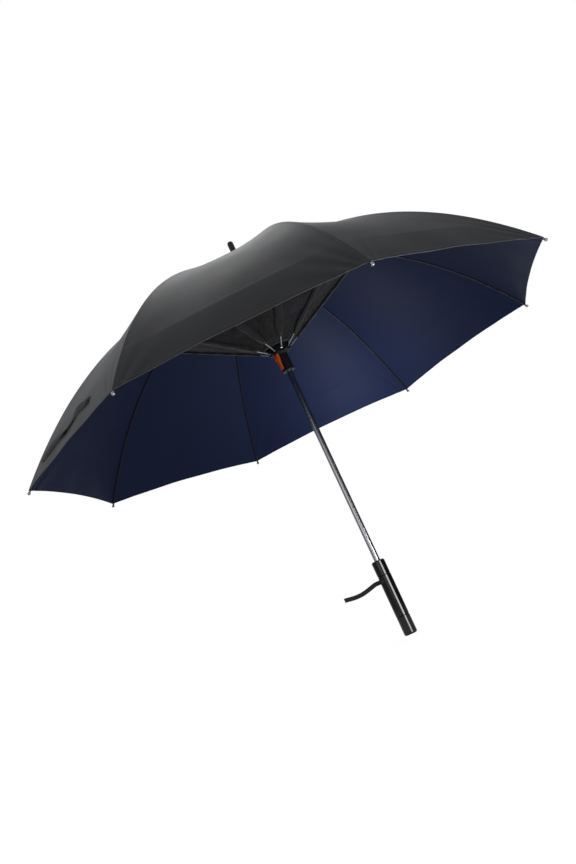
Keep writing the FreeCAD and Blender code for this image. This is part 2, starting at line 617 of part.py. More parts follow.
shaped("battery_spring", battery_spring())
lead_foot = mm("cell_foot") + mm("cell_length") + 3.5
lead_top = mm("motor_foot") + 10
shaped("motor_lead", rod(Vector(0, 0, lead_foot), Vector(0, 0, lead_top), mm("lead_diameter")))

# ---- wrist strap -------------------------------------------------------------------------------

strap_way = bearing(mm("strap_bearing"))
GRIP_R = mm("grip_diameter") / 2
STRAP_MID = GRIP_R + 0.3 + mm("strap_thickness") / 2


def strap_post():
    """A shouldered post screwed into the grip, with a domed head that holds the strap."""
    level = mm("strap_height")
    neck = Part.makeCylinder(mm("strap_post_radius"), mm("strap_thickness") + 4.4,
                             Vector(GRIP_R - 3.5, 0, level), Vector(1, 0, 0))
    head = Part.makeCylinder(mm("strap_head_radius"), 1.8,
                             Vector(STRAP_MID + mm("strap_thickness") / 2 + 0.3, 0, level), Vector(1, 0, 0))
    head = head.makeFillet(1.2, [head.Edges[0]])
    return fused([neck, head])


def wrist_strap():
    """A webbing loop: a stitched tab on the post, a bend, and two layers out to a round end."""
    thick, width, level = mm("strap_thickness"), mm("strap_width"), mm("strap_height")
    tab_back, tab_front, bend_radius, bend = 6.0, 9.0, 7.0, 56.0
    near = STRAP_MID - thick / 2
    low = level - width / 2
    tab = Part.makeBox(thick, tab_back + tab_front, width, Vector(near, -tab_front, low))
    hole = Part.makeCylinder(mm("strap_post_radius") + 0.1, 12, Vector(GRIP_R, 0, level), Vector(1, 0, 0))
    centre = Vector(STRAP_MID + bend_radius, -tab_front, 0)
    corner = Vector(near, -tab_front, low)
    end_face = Part.makePlane(thick, width, corner, Vector(0, -1, 0), Vector(1, 0, 0))
    curve = end_face.revolve(centre, Z_AXIS, bend)
    turn = math.radians(bend)
    out = Vector(math.sin(turn), -math.cos(turn), 0)
    exit_point = Vector(centre.x - bend_radius * math.cos(turn), centre.y - bend_radius * math.sin(turn),
                        level)
    layer = thick / 2
    run = mm("strap_length") - tab_front - bend_radius * turn
    gap = 1.6
    ends = gap / 2 + layer
    outer = Part.makeBox(run - ends, 2 * ends, width, Vector(0, -ends, -width / 2))
    outer = outer.fuse(Part.makeCylinder(ends, width, Vector(run - ends, 0, -width / 2)))
    inner = Part.makeBox(run - ends - 4, gap, width + 2, Vector(4, -gap / 2, -width / 2 - 1))
    inner = inner.fuse(Part.makeCylinder(gap / 2, width + 2, Vector(run - ends, 0, -width / 2 - 1)))
    loop = outer.cut(inner)
    loop.Placement = Placement(exit_point, Rotation(Vector(1, 0, 0), out))
    return fused([tab.cut(hole), curve, loop])


post = strap_post()
grip = next(o for o in kept if o.Label == "handle_grip")
grip.Label = "handle_grip_blank"
post_hole = doc.addObject("Part::Feature", "post_hole")
post_hole.Shape = Part.makeCylinder(mm("strap_post_radius"), 8.0, Vector(GRIP_R - 3.5, 0, mm("strap_height")),
                                    Vector(1, 0, 0))
post_hole.Placement = strap_way
bored_grip = doc.addObject("Part::Cut", "handle_grip_bored")
bored_grip.Label = "handle_grip"
bored_grip.Base = grip
bored_grip.Tool = post_hole
kept[kept.index(grip)] = bored_grip
shaped("strap_post", post, strap_way)
shaped("wrist_strap", wrist_strap(), strap_way)

# ---- fan ---------------------------------------------------------------------------------------

MOTOR_TOP = "(motor_foot + motor_height)"
turned("motor_housing", [
    ("shaft_diameter / 2", "motor_foot"), ("motor_radius - 4", "motor_foot"),
    ("motor_radius", "motor_foot + 5"), ("motor_radius", MOTOR_TOP + " - 3"),
    ("motor_radius - 2", MOTOR_TOP), ("shaft_diameter / 2", MOTOR_TOP)])
ROTOR_FOOT = "(motor_foot + motor_height + rotor_gap)"
rotor = turned("fan_rotor", [
    ("shaft_diameter / 2 + running_gap", ROTOR_FOOT), ("rotor_radius", ROTOR_FOOT),
    ("rotor_radius", ROTOR_FOOT + " + rotor_height - 4"),
    ("rotor_radius - 4", ROTOR_FOOT + " + rotor_height"),
    ("shaft_diameter / 2 + running_gap", ROTOR_FOOT + " + rotor_height")])
rotor.Label = "fan_rotor_blank"
ROTOR_MID = mm("motor_foot") + mm("motor_height") + mm("rotor_gap") + mm("rotor_height") / 2
BLADE_PIN = Vector(mm("blade_pin_radius"), 0, ROTOR_MID)
TILT = Rotation(Vector(1, 0, 0), mm("blade_pitch"))


def tilted(shape, way):
    """Pitch a piece about the blade's own length, then swing it round the shaft."""
    turned_shape = shape.copy()
    turned_shape.Placement = way.multiply(Placement(BLADE_PIN, TILT))
    return turned_shape


def fan_blade():
    """A blade drawn along +X from its hinge: a knuckle, then a plate that widens to a round end."""
    thick, chord = mm("blade_thickness"), mm("blade_chord")
    length = mm("blade_reach") - mm("blade_pin_radius")
    knuckle = Part.makeCylinder(1.7, 9.0, Vector(0, -4.5, 0), Vector(0, 1, 0))
    root, wide = 4.2, chord / 2
    points = [Vector(0, -root, 0), Vector(3.5, -root, 0), Vector(length * 0.25, -wide * 0.85, 0),
              Vector(length * 0.75, -wide, 0)]
    others = [Vector(p.x, -p.y, 0) for p in reversed(points)]
    edges = [Part.makeLine(a, b) for a, b in zip(points, points[1:])]
    edges.append(Part.Arc(points[-1], Vector(length, 0, 0), others[0]).toShape())
    edges += [Part.makeLine(a, b) for a, b in zip(others, others[1:] + points[:1])]
    blade = Part.Face(Part.Wire(edges)).extrude(Vector(0, 0, thick))
    blade.translate(Vector(0, 0, -thick / 2))
    whole = fused([knuckle, blade])
    return whole.cut(Part.makeCylinder(mm("blade_pin_diameter") / 2 + mm("running_gap"), 30,
                                       Vector(0, -15, 0), Vector(0, 1, 0)))


def blade_lugs():
    """The two ears on the rotor that carry one blade's pin."""
    ears = []
    for side in (-1, 1):
        ear = Part.makeBox(7.0, 1.8, 3.6, Vector(-6.2, side * 5.8 - 0.9, -1.8))
        ears.append(ear.fuse(Part.makeCylinder(1.8, 1.8, Vector(0, side * 5.8 - 0.9, 0), Vector(0, 1, 0))))
    bar = Part.makeCylinder(mm("blade_pin_diameter") / 2, 40, Vector(0, -20, 0), Vector(0, 1, 0))
    return [ear.cut(bar) for ear in ears]


ears, pins = [], []
for number in range(BLADES):
    way = bearing(number * 360.0 / BLADES + 15.0)
    ears += [tilted(lug, way) for lug in blade_lugs()]
    pin = Part.makeCylinder(mm("blade_pin_diameter") / 2, 13.4, Vector(0, -6.7, 0), Vector(0, 1, 0))
    pins.append(tilted(pin, way))
    shaped(f"fan_blade_{number + 1}", fan_blade(), way.multiply(Placement(BLADE_PIN, TILT)))
shaped("blade_pins", Part.makeCompound(pins))
ear_group = doc.addObject("Part::Feature", "rotor_ears")
ear_group.Shape = Part.makeCompound(ears)
whole_rotor = doc.addObject("Part::Fuse", "rotor_with_ears")
whole_rotor.Label = "fan_rotor"
whole_rotor.Base = rotor
whole_rotor.Tool = ear_group
kept[kept.index(rotor)] = whole_rotor

# ---- checks and export ---------------------------------------------------------------------------

doc.recompute()
for item in doc.Objects:
    if "Invalid" in item.State or "Error" in item.State:
        raise RuntimeError(f"{item.Label} did not recompute: {item.State}")
for item in kept:
    if item.Shape.isNull() or not item.Shape.isValid():
        raise RuntimeError(f"{item.Label} has no valid shape")
os.makedirs("parts", exist_ok=True)
for item in kept:
    item.Shape.exportStep(f"parts/{item.Label}.step")
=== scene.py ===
import math

import bmesh
import bpy
import numpy as np
from mathutils import Matrix, Vector


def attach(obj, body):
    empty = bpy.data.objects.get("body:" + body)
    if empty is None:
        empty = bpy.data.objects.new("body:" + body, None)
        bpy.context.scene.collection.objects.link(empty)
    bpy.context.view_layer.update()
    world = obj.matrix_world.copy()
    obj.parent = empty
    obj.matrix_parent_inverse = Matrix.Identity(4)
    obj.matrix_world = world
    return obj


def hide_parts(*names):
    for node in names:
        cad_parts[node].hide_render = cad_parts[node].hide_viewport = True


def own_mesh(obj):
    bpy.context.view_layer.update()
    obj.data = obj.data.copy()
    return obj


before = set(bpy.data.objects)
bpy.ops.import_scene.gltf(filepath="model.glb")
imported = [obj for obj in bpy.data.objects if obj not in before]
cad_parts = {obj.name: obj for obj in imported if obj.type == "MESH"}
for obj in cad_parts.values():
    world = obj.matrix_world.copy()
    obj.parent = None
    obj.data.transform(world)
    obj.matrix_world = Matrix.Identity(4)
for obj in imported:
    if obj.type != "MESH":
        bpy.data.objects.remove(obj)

bl_info = {
    "name": "Fan umbrella finish",
    "version": (1, 0, 0),
    "blender": (4, 5, 0),
    "location": "3D View > Sidebar > Umbrella",
    "description": "Cloth, net, straps and finishes for a golf umbrella with a fan in its crown",
    "category": "Object",
}

RIBS = 8
HALF_TURN = math.pi / RIBS
BRACKET_RADIUS = 0.260
RUNNER_PIN = np.array([0.020, 0.618])
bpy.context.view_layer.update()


# ---- sizes and colours a user would change -------------------------------------------------------

def length(name, text, default, low=0.0, high=2.0):
    return bpy.props.FloatProperty(name=name, description=text, default=default, min=low, max=high,
                                   subtype="DISTANCE", unit="LENGTH", precision=4)


def paint(name, text, default):
    return bpy.props.FloatVectorProperty(name=name, description=text, default=default, size=3, min=0.0,
                                         max=1.0, subtype="COLOR")


class UmbrellaSizes(bpy.types.PropertyGroup):
    """Sizes of the cloth, the net and the straps, in metres."""
    open_radius: length("Open radius", "From the shaft's axis to a rib's tip", 0.5637)
    crown_height: length("Crown height", "Cloth height at the shaft", 0.8154)
    rim_height: length("Rim height", "Cloth height at a rib's tip", 0.5240)
    tip_overhang: length("Tip overhang", "How far a rib's tip stands out of the cloth", 0.0040)
    rim_scallop: length("Rim scallop", "How far the rim is cut in between two tips", 0.0050)
    cloth_thickness: length("Cloth thickness", "One layer of the canopy", 0.00035)
    hem_width: length("Hem width", "Folded hem along the rim", 0.0090)
    panel_sag: length("Panel sag", "How far a panel's middle is pulled in by its tension", 0.0090)
    tie_width: length("Closing strap width", "Width of the strap that ties the canopy shut", 0.0140)
    strap_width: length("Wrist strap width", "Width of the wrist strap's webbing", 0.0085)
    sleeve_width: length("Stretcher sleeve width", "Width of the dark sleeve over a stretcher", 0.0180)
    net_pitch: length("Net pitch", "Spacing of the net's threads", 0.0016)


class UmbrellaColours(bpy.types.PropertyGroup):
    """Base colours of the umbrella's finishes."""
    outer_cloth: paint("Outer cloth", "Outside of the canopy", (0.022, 0.023, 0.026))
    inner_cloth: paint("Inner cloth", "Coating inside the canopy", (0.0125, 0.0205, 0.064))
    hem_edge: paint("Hem edge", "Cut edge of the rim", (0.16, 0.16, 0.17))
    net: paint("Net", "Net and sleeves under the canopy", (0.009, 0.009, 0.010))
    webbing: paint("Webbing", "Straps", (0.012, 0.012, 0.013))
    steel: paint("Steel", "Shaft and bright fittings", (0.66, 0.67, 0.70))
    black: paint("Black lacquer", "Handle and ribs", (0.006, 0.006, 0.007))
    latch: paint("Latch", "Runner's latch", (0.90, 0.125, 0.020))
    motor: paint("Motor", "Fan motor's shell", (0.16, 0.165, 0.175))


# ---- shader maths --------------------------------------------------------------------------------

class Wire:
    """One output of a material's node tree. Arithmetic on wires adds Math nodes."""

    def __init__(self, tree, socket):
        self.tree, self.socket = tree, socket

    def made(self, operation, *others):
        return self.tree.node("ShaderNodeMath", 0, operation=operation, inputs=(self, *others))

    def __add__(self, other):
        return self.made("ADD", other)

    def __sub__(self, other):
        return self.made("SUBTRACT", other)

    def __mul__(self, other):
        return self.made("MULTIPLY", other)

    def __truediv__(self, other):
        return self.made("DIVIDE", other)

    def __pow__(self, other):
        return self.made("POWER", other)

    def clipped(self):
        return self.made("MAXIMUM", 0.0).made("MINIMUM", 1.0)

    def sine(self):
        return self.made("SINE")

    def size(self):
        return self.made("ABSOLUTE")

    def above(self, level, width):
        """0 below the level and 1 above it, with a smooth step of that width."""
        share = ((self - level) / width + 0.5).clipped()
        return share * share * (share * -2.0 + 3.0)

    def wave(self, pitch):
        """A sine of that pitch, from 0 to 1."""
        return (self * (2 * math.pi / pitch)).sine() * 0.5 + 0.5


class Tree:
    """A node tree that wires are joined in."""

    def __init__(self, node_tree):
        self.nodes, self.links = node_tree.nodes, node_tree.links

    def plug(self, socket, value):
        if isinstance(value, Wire):
            self.links.new(value.socket, socket)
        elif value is not None:
            socket.default_value = value

    def node(self, kind, output, inputs=(), named=None, **settings):
        """Add one node, set it, join its inputs, and return one of its outputs."""
        node = self.nodes.new(kind)
        for setting, value in settings.items():
            setattr(node, setting, value)
        for index, value in enumerate(inputs):
            self.plug(node.inputs[index], value)
        for socket, value in (named or {}).items():
            self.plug(node.inputs[socket], value)
        return Wire(self, node.outputs[output])


class Finish(Tree):
    """A material and its node tree, with one Principled shader."""

    def __init__(self, name, colour, **sockets):
        self.material = bpy.data.materials.new(name)
        self.material.use_nodes = True
        super().__init__(self.material.node_tree)
        self.shader = self.nodes["Principled BSDF"]
        self.shader.inputs["Base Color"].default_value = (*colour, 1.0)
        for socket, value in sockets.items():
            self.shader.inputs[socket.replace("_", " ")].default_value = value
        self.material.diffuse_color = (*colour, 1.0)

    def place(self):
        """Object coordinates, as three wires."""
        spot = self.node("ShaderNodeTexCoord", "Object")
        return [self.node("ShaderNodeSeparateXYZ", axis, (spot,)) for axis in "XYZ"]

    def flat_place(self):
        """The piece's own UV map, as two wires in metres."""
        spot = self.node("ShaderNodeTexCoord", "UV")
        return [self.node("ShaderNodeSeparateXYZ", axis, (spot,)) for axis in "XY"]

    def noise(self, scale, detail=2.0, roughness=0.5, stretch=None):
        """Noise from 0 to 1 on Object coordinates, stretched if three factors are given."""
        spot = self.node("ShaderNodeTexCoord", "Object")
        if stretch:
            spot = self.node("ShaderNodeMapping", "Vector", (spot,), named={"Scale": stretch})
        return self.node("ShaderNodeTexNoise", "Fac", named={
            "Vector": spot, "Scale": scale, "Detail": detail, "Roughness": roughness})

    def mixed(self, share, first, second):
        """A colour between two colours or wires."""
        spots = [value if isinstance(value, Wire) else (*value, 1.0) for value in (first, second)]
        node = self.nodes.new("ShaderNodeMix")
        node.data_type = "RGBA"
        self.plug(node.inputs[0], share)
        self.plug(node.inputs[6], spots[0])
        self.plug(node.inputs[7], spots[1])
        return Wire(self, node.outputs[2])

    def bumped(self, height, depth, strength=1.0):
        """Raise the surface by a height wire times a depth in metres."""
        normal = self.node("ShaderNodeBump", "Normal", named={
            "Height": height, "Distance": depth, "Strength": strength})
        self.plug(self.shader.inputs["Normal"], normal)

    def feed(self, socket, wire):
        self.plug(self.shader.inputs[socket], wire)


# ---- finishes ------------------------------------------------------------------------------------

def scaled(colour, factor):
    return tuple(min(channel * factor, 1.0) for channel in colour)


def cloth_finish(name, colour, roughness, sheen, tint, weave_depth, lustre):
    """Woven canopy cloth: fine weave, faint mottling, a stitched hem and a stitched seam."""
    finish = Finish(name, colour, Roughness=roughness, Sheen_Weight=sheen, Sheen_Roughness=0.35,
                    Sheen_Tint=(*tint, 1.0), Specular_IOR_Level=lustre)
    from_seam, from_rim = finish.flat_place()
    warp, weft = from_seam.wave(0.0011), from_rim.wave(0.0011)
    weave = warp * 0.5 + weft * 0.5
    cloud = finish.noise(9.0, 3.0, 0.6)
    grain = finish.noise(620.0, 2.0, 0.6)
    hem_row = (from_rim - 0.0088).size()
    seam_row = (from_seam - 0.0042).size()
    hem_fold = (hem_row * -1.0).above(-0.0009, 0.0012)
    seam_fold = (seam_row * -1.0).above(-0.0007, 0.0010)
    threads_along = from_seam.wave(0.0026).above(0.45, 0.3)
    threads_down = from_rim.wave(0.0026).above(0.45, 0.3)
    stitches = (hem_fold * threads_along + seam_fold * threads_down).clipped()
    double = ((from_rim * -1.0).above(-0.0088, 0.001) + (from_seam * -1.0).above(-0.0050, 0.001)).clipped()
    shade = (cloud - 0.5) * 0.22 + (grain - 0.5) * 0.30 + (weave - 0.5) * 0.10 - double * 0.10
    dark, light = scaled(colour, 0.70), scaled(colour, 1.34)
    cloth = finish.mixed((shade + 0.5).clipped(), dark, light)
    finish.feed("Base Color", finish.mixed(stitches * 0.6, cloth, scaled(colour, 2.1)))
    finish.feed("Roughness", ((cloud - 0.5) * 0.16 + (grain - 0.5) * 0.10 + roughness).clipped())
    pucker = (from_seam * -1.0).above(-0.010, 0.014) * from_rim.wave(0.0125)
    height = weave * 0.25 + stitches * 1.2 + double * 0.8 + pucker * 0.5 + grain * 0.4
    finish.bumped(height, weave_depth)
    return finish.material


def net_finish(name, colour, pitch):
    """Open mesh: a square of threads with holes between them, over faint mottling."""
    finish = Finish(name, colour, Roughness=0.75, Sheen_Weight=0.25, Sheen_Roughness=0.4)
    across, along = finish.flat_place()
    first, second = (across + along).wave(pitch * 1.41), (across - along).wave(pitch * 1.41)
    threads = (first.above(0.60, 0.25) + second.above(0.60, 0.25)).clipped()
    cloud = finish.noise(30.0, 2.0)
    finish.feed("Alpha", (threads * 0.45 + cloud * 0.10 + 0.20).clipped())
    finish.feed("Base Color", finish.mixed(cloud, scaled(colour, 0.6), scaled(colour, 1.9)))
    finish.bumped(threads, 0.0003)
    return finish.material


def sleeve_finish(name, colour):
    """Soft knitted sleeve with lengthwise folds, whose light and shade are painted into its colour."""
    finish = Finish(name, colour, Roughness=0.85, Sheen_Weight=0.35, Sheen_Roughness=0.4)
    around, along = finish.flat_place()
    knit = around.wave(0.0012) * 0.5 + along.wave(0.0009) * 0.5
    folds_and_painted_shade = finish.noise(60.0, 3.0, 0.6)
    shade = folds_and_painted_shade * 0.7 + knit * 0.3
    # Painted shade and light: the folds' noise darkens and lightens the base colour as shade and light on the
    # folds would.
    finish.feed("Base Color", finish.mixed(shade, scaled(colour, 0.5), scaled(colour, 2.2)))
    finish.feed("Roughness", knit * 0.1 + 0.78)
    finish.bumped(knit * 0.4 + folds_and_painted_shade * 1.5, 0.0006)
    return finish.material


def webbing_finish(name, colour, width):
    """Narrow woven webbing: ribs across it, a bound edge each side, and a row of stitches."""
    finish = Finish(name, colour, Roughness=0.7, Sheen_Weight=0.3, Sheen_Roughness=0.35)
    across, along = finish.flat_place()
    ribs = (along + across * 0.35).wave(0.0013) * 0.6 + (along - across * 0.35).wave(0.0013) * 0.4
    edge = (across.size() - (width / 2 - 0.0011)).above(0.0, 0.0006)
    fuzz = finish.noise(900.0, 2.0, 0.7)
    row = ((across.size() - width * 0.27).size() * -1.0).above(-0.0004, 0.0005)
    row = row * along.wave(0.0028).above(0.4, 0.3)
    cloth = finish.mixed(ribs * 0.6 + fuzz * 0.4, scaled(colour, 0.55), scaled(colour, 2.4))
    finish.feed("Base Color", finish.mixed(row * 0.7, cloth, scaled(colour, 3.6)))
    finish.feed("Roughness", fuzz * 0.25 + 0.58)
    finish.bumped(ribs * 1.0 + edge * 0.8 + row * 1.2, 0.00045)
    return finish.material


def shaft_finish(name, colour):
    """Drawn and polished tube: fine lengthwise lines and faint smears."""
    finish = Finish(name, colour, Metallic=1.0, Roughness=0.13)
    smear = finish.noise(14.0, 3.0, 0.6)
    lines = finish.noise(420.0, 2.0, 0.6, stretch=(1.0, 1.0, 0.02))
    finish.feed("Roughness", (smear * 0.04 + lines * 0.01 + 0.19).clipped())
    finish.feed("Base Color", finish.mixed(smear, scaled(colour, 0.86), scaled(colour, 1.08)))
    finish.bumped(lines, 0.0000004)
    return finish.material


def plated_finish(name, colour):
    """Bright plated fittings: fine brushed grain and dulled edges."""
    finish = Finish(name, colour, Metallic=1.0, Roughness=0.25)
    grain = finish.noise(900.0, 2.0, 0.6)
    wear = finish.noise(60.0, 3.0, 0.65)
    finish.feed("Roughness", (grain * 0.15 + wear * 0.12 + 0.14).clipped())
    finish.feed("Base Color", finish.mixed(wear, scaled(colour, 0.72), scaled(colour, 1.1)))
    finish.bumped(grain, 0.00004)
    return finish.material


def rib_finish(name, black, steel, bright_from, bright_beyond):
    """Lacquered black bar that turns to bright steel on one side of a distance from the shaft's axis."""
    finish = Finish(name, black, Roughness=0.3)
    x, y, z = finish.place()
    radius = (x * x + y * y) ** 0.5
    bright = radius.above(bright_from, 0.0008)
    if not bright_beyond:
        bright = bright * -1.0 + 1.0
    grain = finish.noise(700.0, 2.0, 0.6)
    scuff = finish.noise(45.0, 3.0, 0.65)
    lacquer = finish.mixed(scuff, scaled(black, 0.7), scaled(black, 1.9))
    plating = finish.mixed(scuff, scaled(steel, 0.8), scaled(steel, 1.1))
    finish.feed("Base Color", finish.mixed(bright, lacquer, plating))
    finish.feed("Metallic", bright)
    finish.feed("Roughness", (scuff * 0.22 + grain * 0.08 + 0.22 - bright * 0.12).clipped())
    finish.bumped(grain * 0.5 + scuff * 0.5, 0.00005)
    return finish.material


def gloss_finish(name, colour):
    """Glossy moulded and lacquered handle: a deep coat, faint waviness, fine dust and rubbed edges."""
    finish = Finish(name, colour, Roughness=0.12, Coat_Weight=0.35, Coat_Roughness=0.04, IOR=1.5)
    wavy = finish.noise(18.0, 2.0)
    dust = finish.noise(1100.0, 2.0, 0.7)
    rub = finish.noise(70.0, 4.0, 0.7, stretch=(1.0, 1.0, 0.25))
    finish.feed("Roughness", (wavy * 0.04 + rub.above(0.6, 0.3) * 0.06 + dust * 0.02 + 0.07).clipped())
    finish.feed("Base Color", finish.mixed(rub, scaled(colour, 0.7), scaled(colour, 1.7)))
    finish.bumped(wavy * 0.8 + dust * 0.01, 0.00004)
    return finish.material


def moulded_finish(name, colour, roughness=0.5, depth=0.00006):
    """Moulded plastic: a fine spark texture with faint mottling."""
    finish = Finish(name, colour, Roughness=roughness)
    spark = finish.noise(1500.0, 2.0, 0.6)
    cloud = finish.noise(55.0, 3.0, 0.6)
    finish.feed("Roughness", (spark * 0.16 + cloud * 0.10 + roughness - 0.13).clipped())
    shade = cloud * 0.6 + spark * 0.4
    finish.feed("Base Color", finish.mixed(shade, scaled(colour, 0.82), scaled(colour, 1.16)))
    finish.bumped(spark, depth)
    return finish.material


def blade_finish(name, colour):
    """Thin moulded fan blade: flow lines along it and a soft gloss."""
    finish = Finish(name, colour, Roughness=0.38)
    flow = finish.noise(90.0, 2.0, 0.5)
    spark = finish.noise(1200.0, 2.0, 0.6)
    finish.feed("Roughness", (flow * 0.14 + spark * 0.08 + 0.28).clipped())
    finish.feed("Base Color", finish.mixed(flow, scaled(colour, 0.8), scaled(colour, 1.5)))
    finish.bumped(spark, 0.00004)
    return finish.material


# ---- mesh making ---------------------------------------------------------------------------------

def put_mesh(name, points, faces, materials, slots=None, uv=None):
    """Make an object from arrays: points (n, 3), quads (m, 4), a material number and 4 UVs per face."""
    mesh = bpy.data.meshes.new(name)
    mesh.vertices.add(len(points))
    mesh.vertices.foreach_set("co", np.asarray(points, np.float32).ravel())
    mesh.loops.add(faces.size)
    mesh.loops.foreach_set("vertex_index", faces.astype(np.int32).ravel())
    mesh.polygons.add(len(faces))
    mesh.polygons.foreach_set("loop_start", np.arange(len(faces), dtype=np.int32) * 4)
    for material in materials:
        mesh.materials.append(material)
    if slots is not None:
        mesh.polygons.foreach_set("material_index", np.asarray(slots, np.int32))
    mesh.update(calc_edges=True)
    if uv is not None:
        layer = mesh.uv_layers.new(name="UVMap")
        layer.data.foreach_set("uv", np.asarray(uv, np.float32).ravel())
    mesh.validate()
    mesh.polygons.foreach_set("use_smooth", np.full(len(mesh.polygons), True))
    thing = bpy.data.objects.new(name, mesh)
    bpy.context.scene.collection.objects.link(thing)
    return thing


def grid_faces(rows, columns, start=0, turned=False):
    """Quads of a rows by columns grid of points whose first point has that number."""
    corner = start + np.arange(rows - 1)[:, None] * columns + np.arange(columns - 1)[None, :]
    quad = np.stack([corner, corner + columns, corner + columns + 1, corner + 1], -1).reshape(-1, 4)
    return quad[:, ::-1] if turned else quad


def swept(path, across, up, outline, closed_ends=True):
    """A closed outline (k, 2) carried along a path (n, 3) whose two side vectors are given at each point.

    Each ring is path + across * outline x + up * outline y; end caps fan to the ring's middle.
    Returns points, quads, and UVs: outline length around, path length along, both in metres.
    """
    wide, deep = outline[None, :, :1], outline[None, :, 1:]
    rings = path[:, None, :] + across[:, None, :] * wide + up[:, None, :] * deep
    count, sides = rings.shape[:2]
    step = np.linalg.norm(np.diff(path, axis=0), axis=1)
    along = np.concatenate([[0.0], np.cumsum(step)])
    ring = np.arange(count - 1)[:, None] * sides
    side = np.arange(sides)[None, :]
    after = (side + 1) % sides
    quads = np.stack([ring + side, ring + sides + side, ring + sides + after, ring + after], -1).reshape(-1, 4)
    flat = np.broadcast_to(outline[:, 0], (count, sides))
    length_at = np.broadcast_to(along[:, None], (count, sides))
    points = rings.reshape(-1, 3)
    both = np.stack([flat.ravel(), length_at.ravel()], -1)
    if closed_ends:
        for end, flip in ((0, False), (count - 1, True)):
            middle = len(points)
            points = np.vstack([points, path[end:end + 1]])
            both = np.vstack([both, [[0.0, along[end]]]])
            base = end * sides
            pairs = np.arange(0, sides, 2)
            cap = np.stack([np.full(len(pairs), middle), base + pairs, base + (pairs + 1) % sides,
                            base + (pairs + 2) % sides], -1)
            quads = np.vstack([quads, cap[:, ::-1] if flip else cap])
    return points, quads, both[quads]


def rounded_outline(half_width, half_height, power=4.0, sides=24):
    """A superellipse: x and y are signed powers of cosine and sine, so the corners are full but round."""
    angle = np.arange(sides) * 2 * math.pi / sides
    x = np.sign(np.cos(angle)) * np.abs(np.cos(angle)) ** (2 / power) * half_width
    y = np.sign(np.sin(angle)) * np.abs(np.sin(angle)) ** (2 / power) * half_height
    return np.stack([x, y], -1)


def smooth_path(points, count):
    """Catmull-Rom curve through the points, read at even shares of its length."""
    points = np.asarray(points, float)
    ends = np.vstack([2 * points[0] - points[1], points, 2 * points[-1] - points[-2]])
    share = np.linspace(0, 1, 40, endpoint=False)[:, None]
    runs = []
    for a, b, c, d in zip(ends, ends[1:], ends[2:], ends[3:]):
        runs.append(0.5 * (2 * b + (c - a) * share + (2 * a - 5 * b + 4 * c - d) * share ** 2
                           + (3 * b - a - 3 * c + d) * share ** 3))
    fine = np.vstack([*runs, points[-1:]])
    far = np.concatenate([[0.0], np.cumsum(np.linalg.norm(np.diff(fine, axis=0), axis=1))])
    even = np.linspace(0, far[-1], count)
    return np.stack([np.interp(even, far, fine[:, k]) for k in range(fine.shape[1])], -1)


def unit(vectors):
    return vectors / np.maximum(np.linalg.norm(vectors, axis=-1, keepdims=True), 1e-12)


def swung(points, angle):
    """Points turned about the shaft's axis."""
    c, s = math.cos(angle), math.sin(angle)
    return points @ np.array([[c, s, 0], [-s, c, 0], [0, 0, 1.0]])


# ---- the canopy's surface ------------------------------------------------------------------------

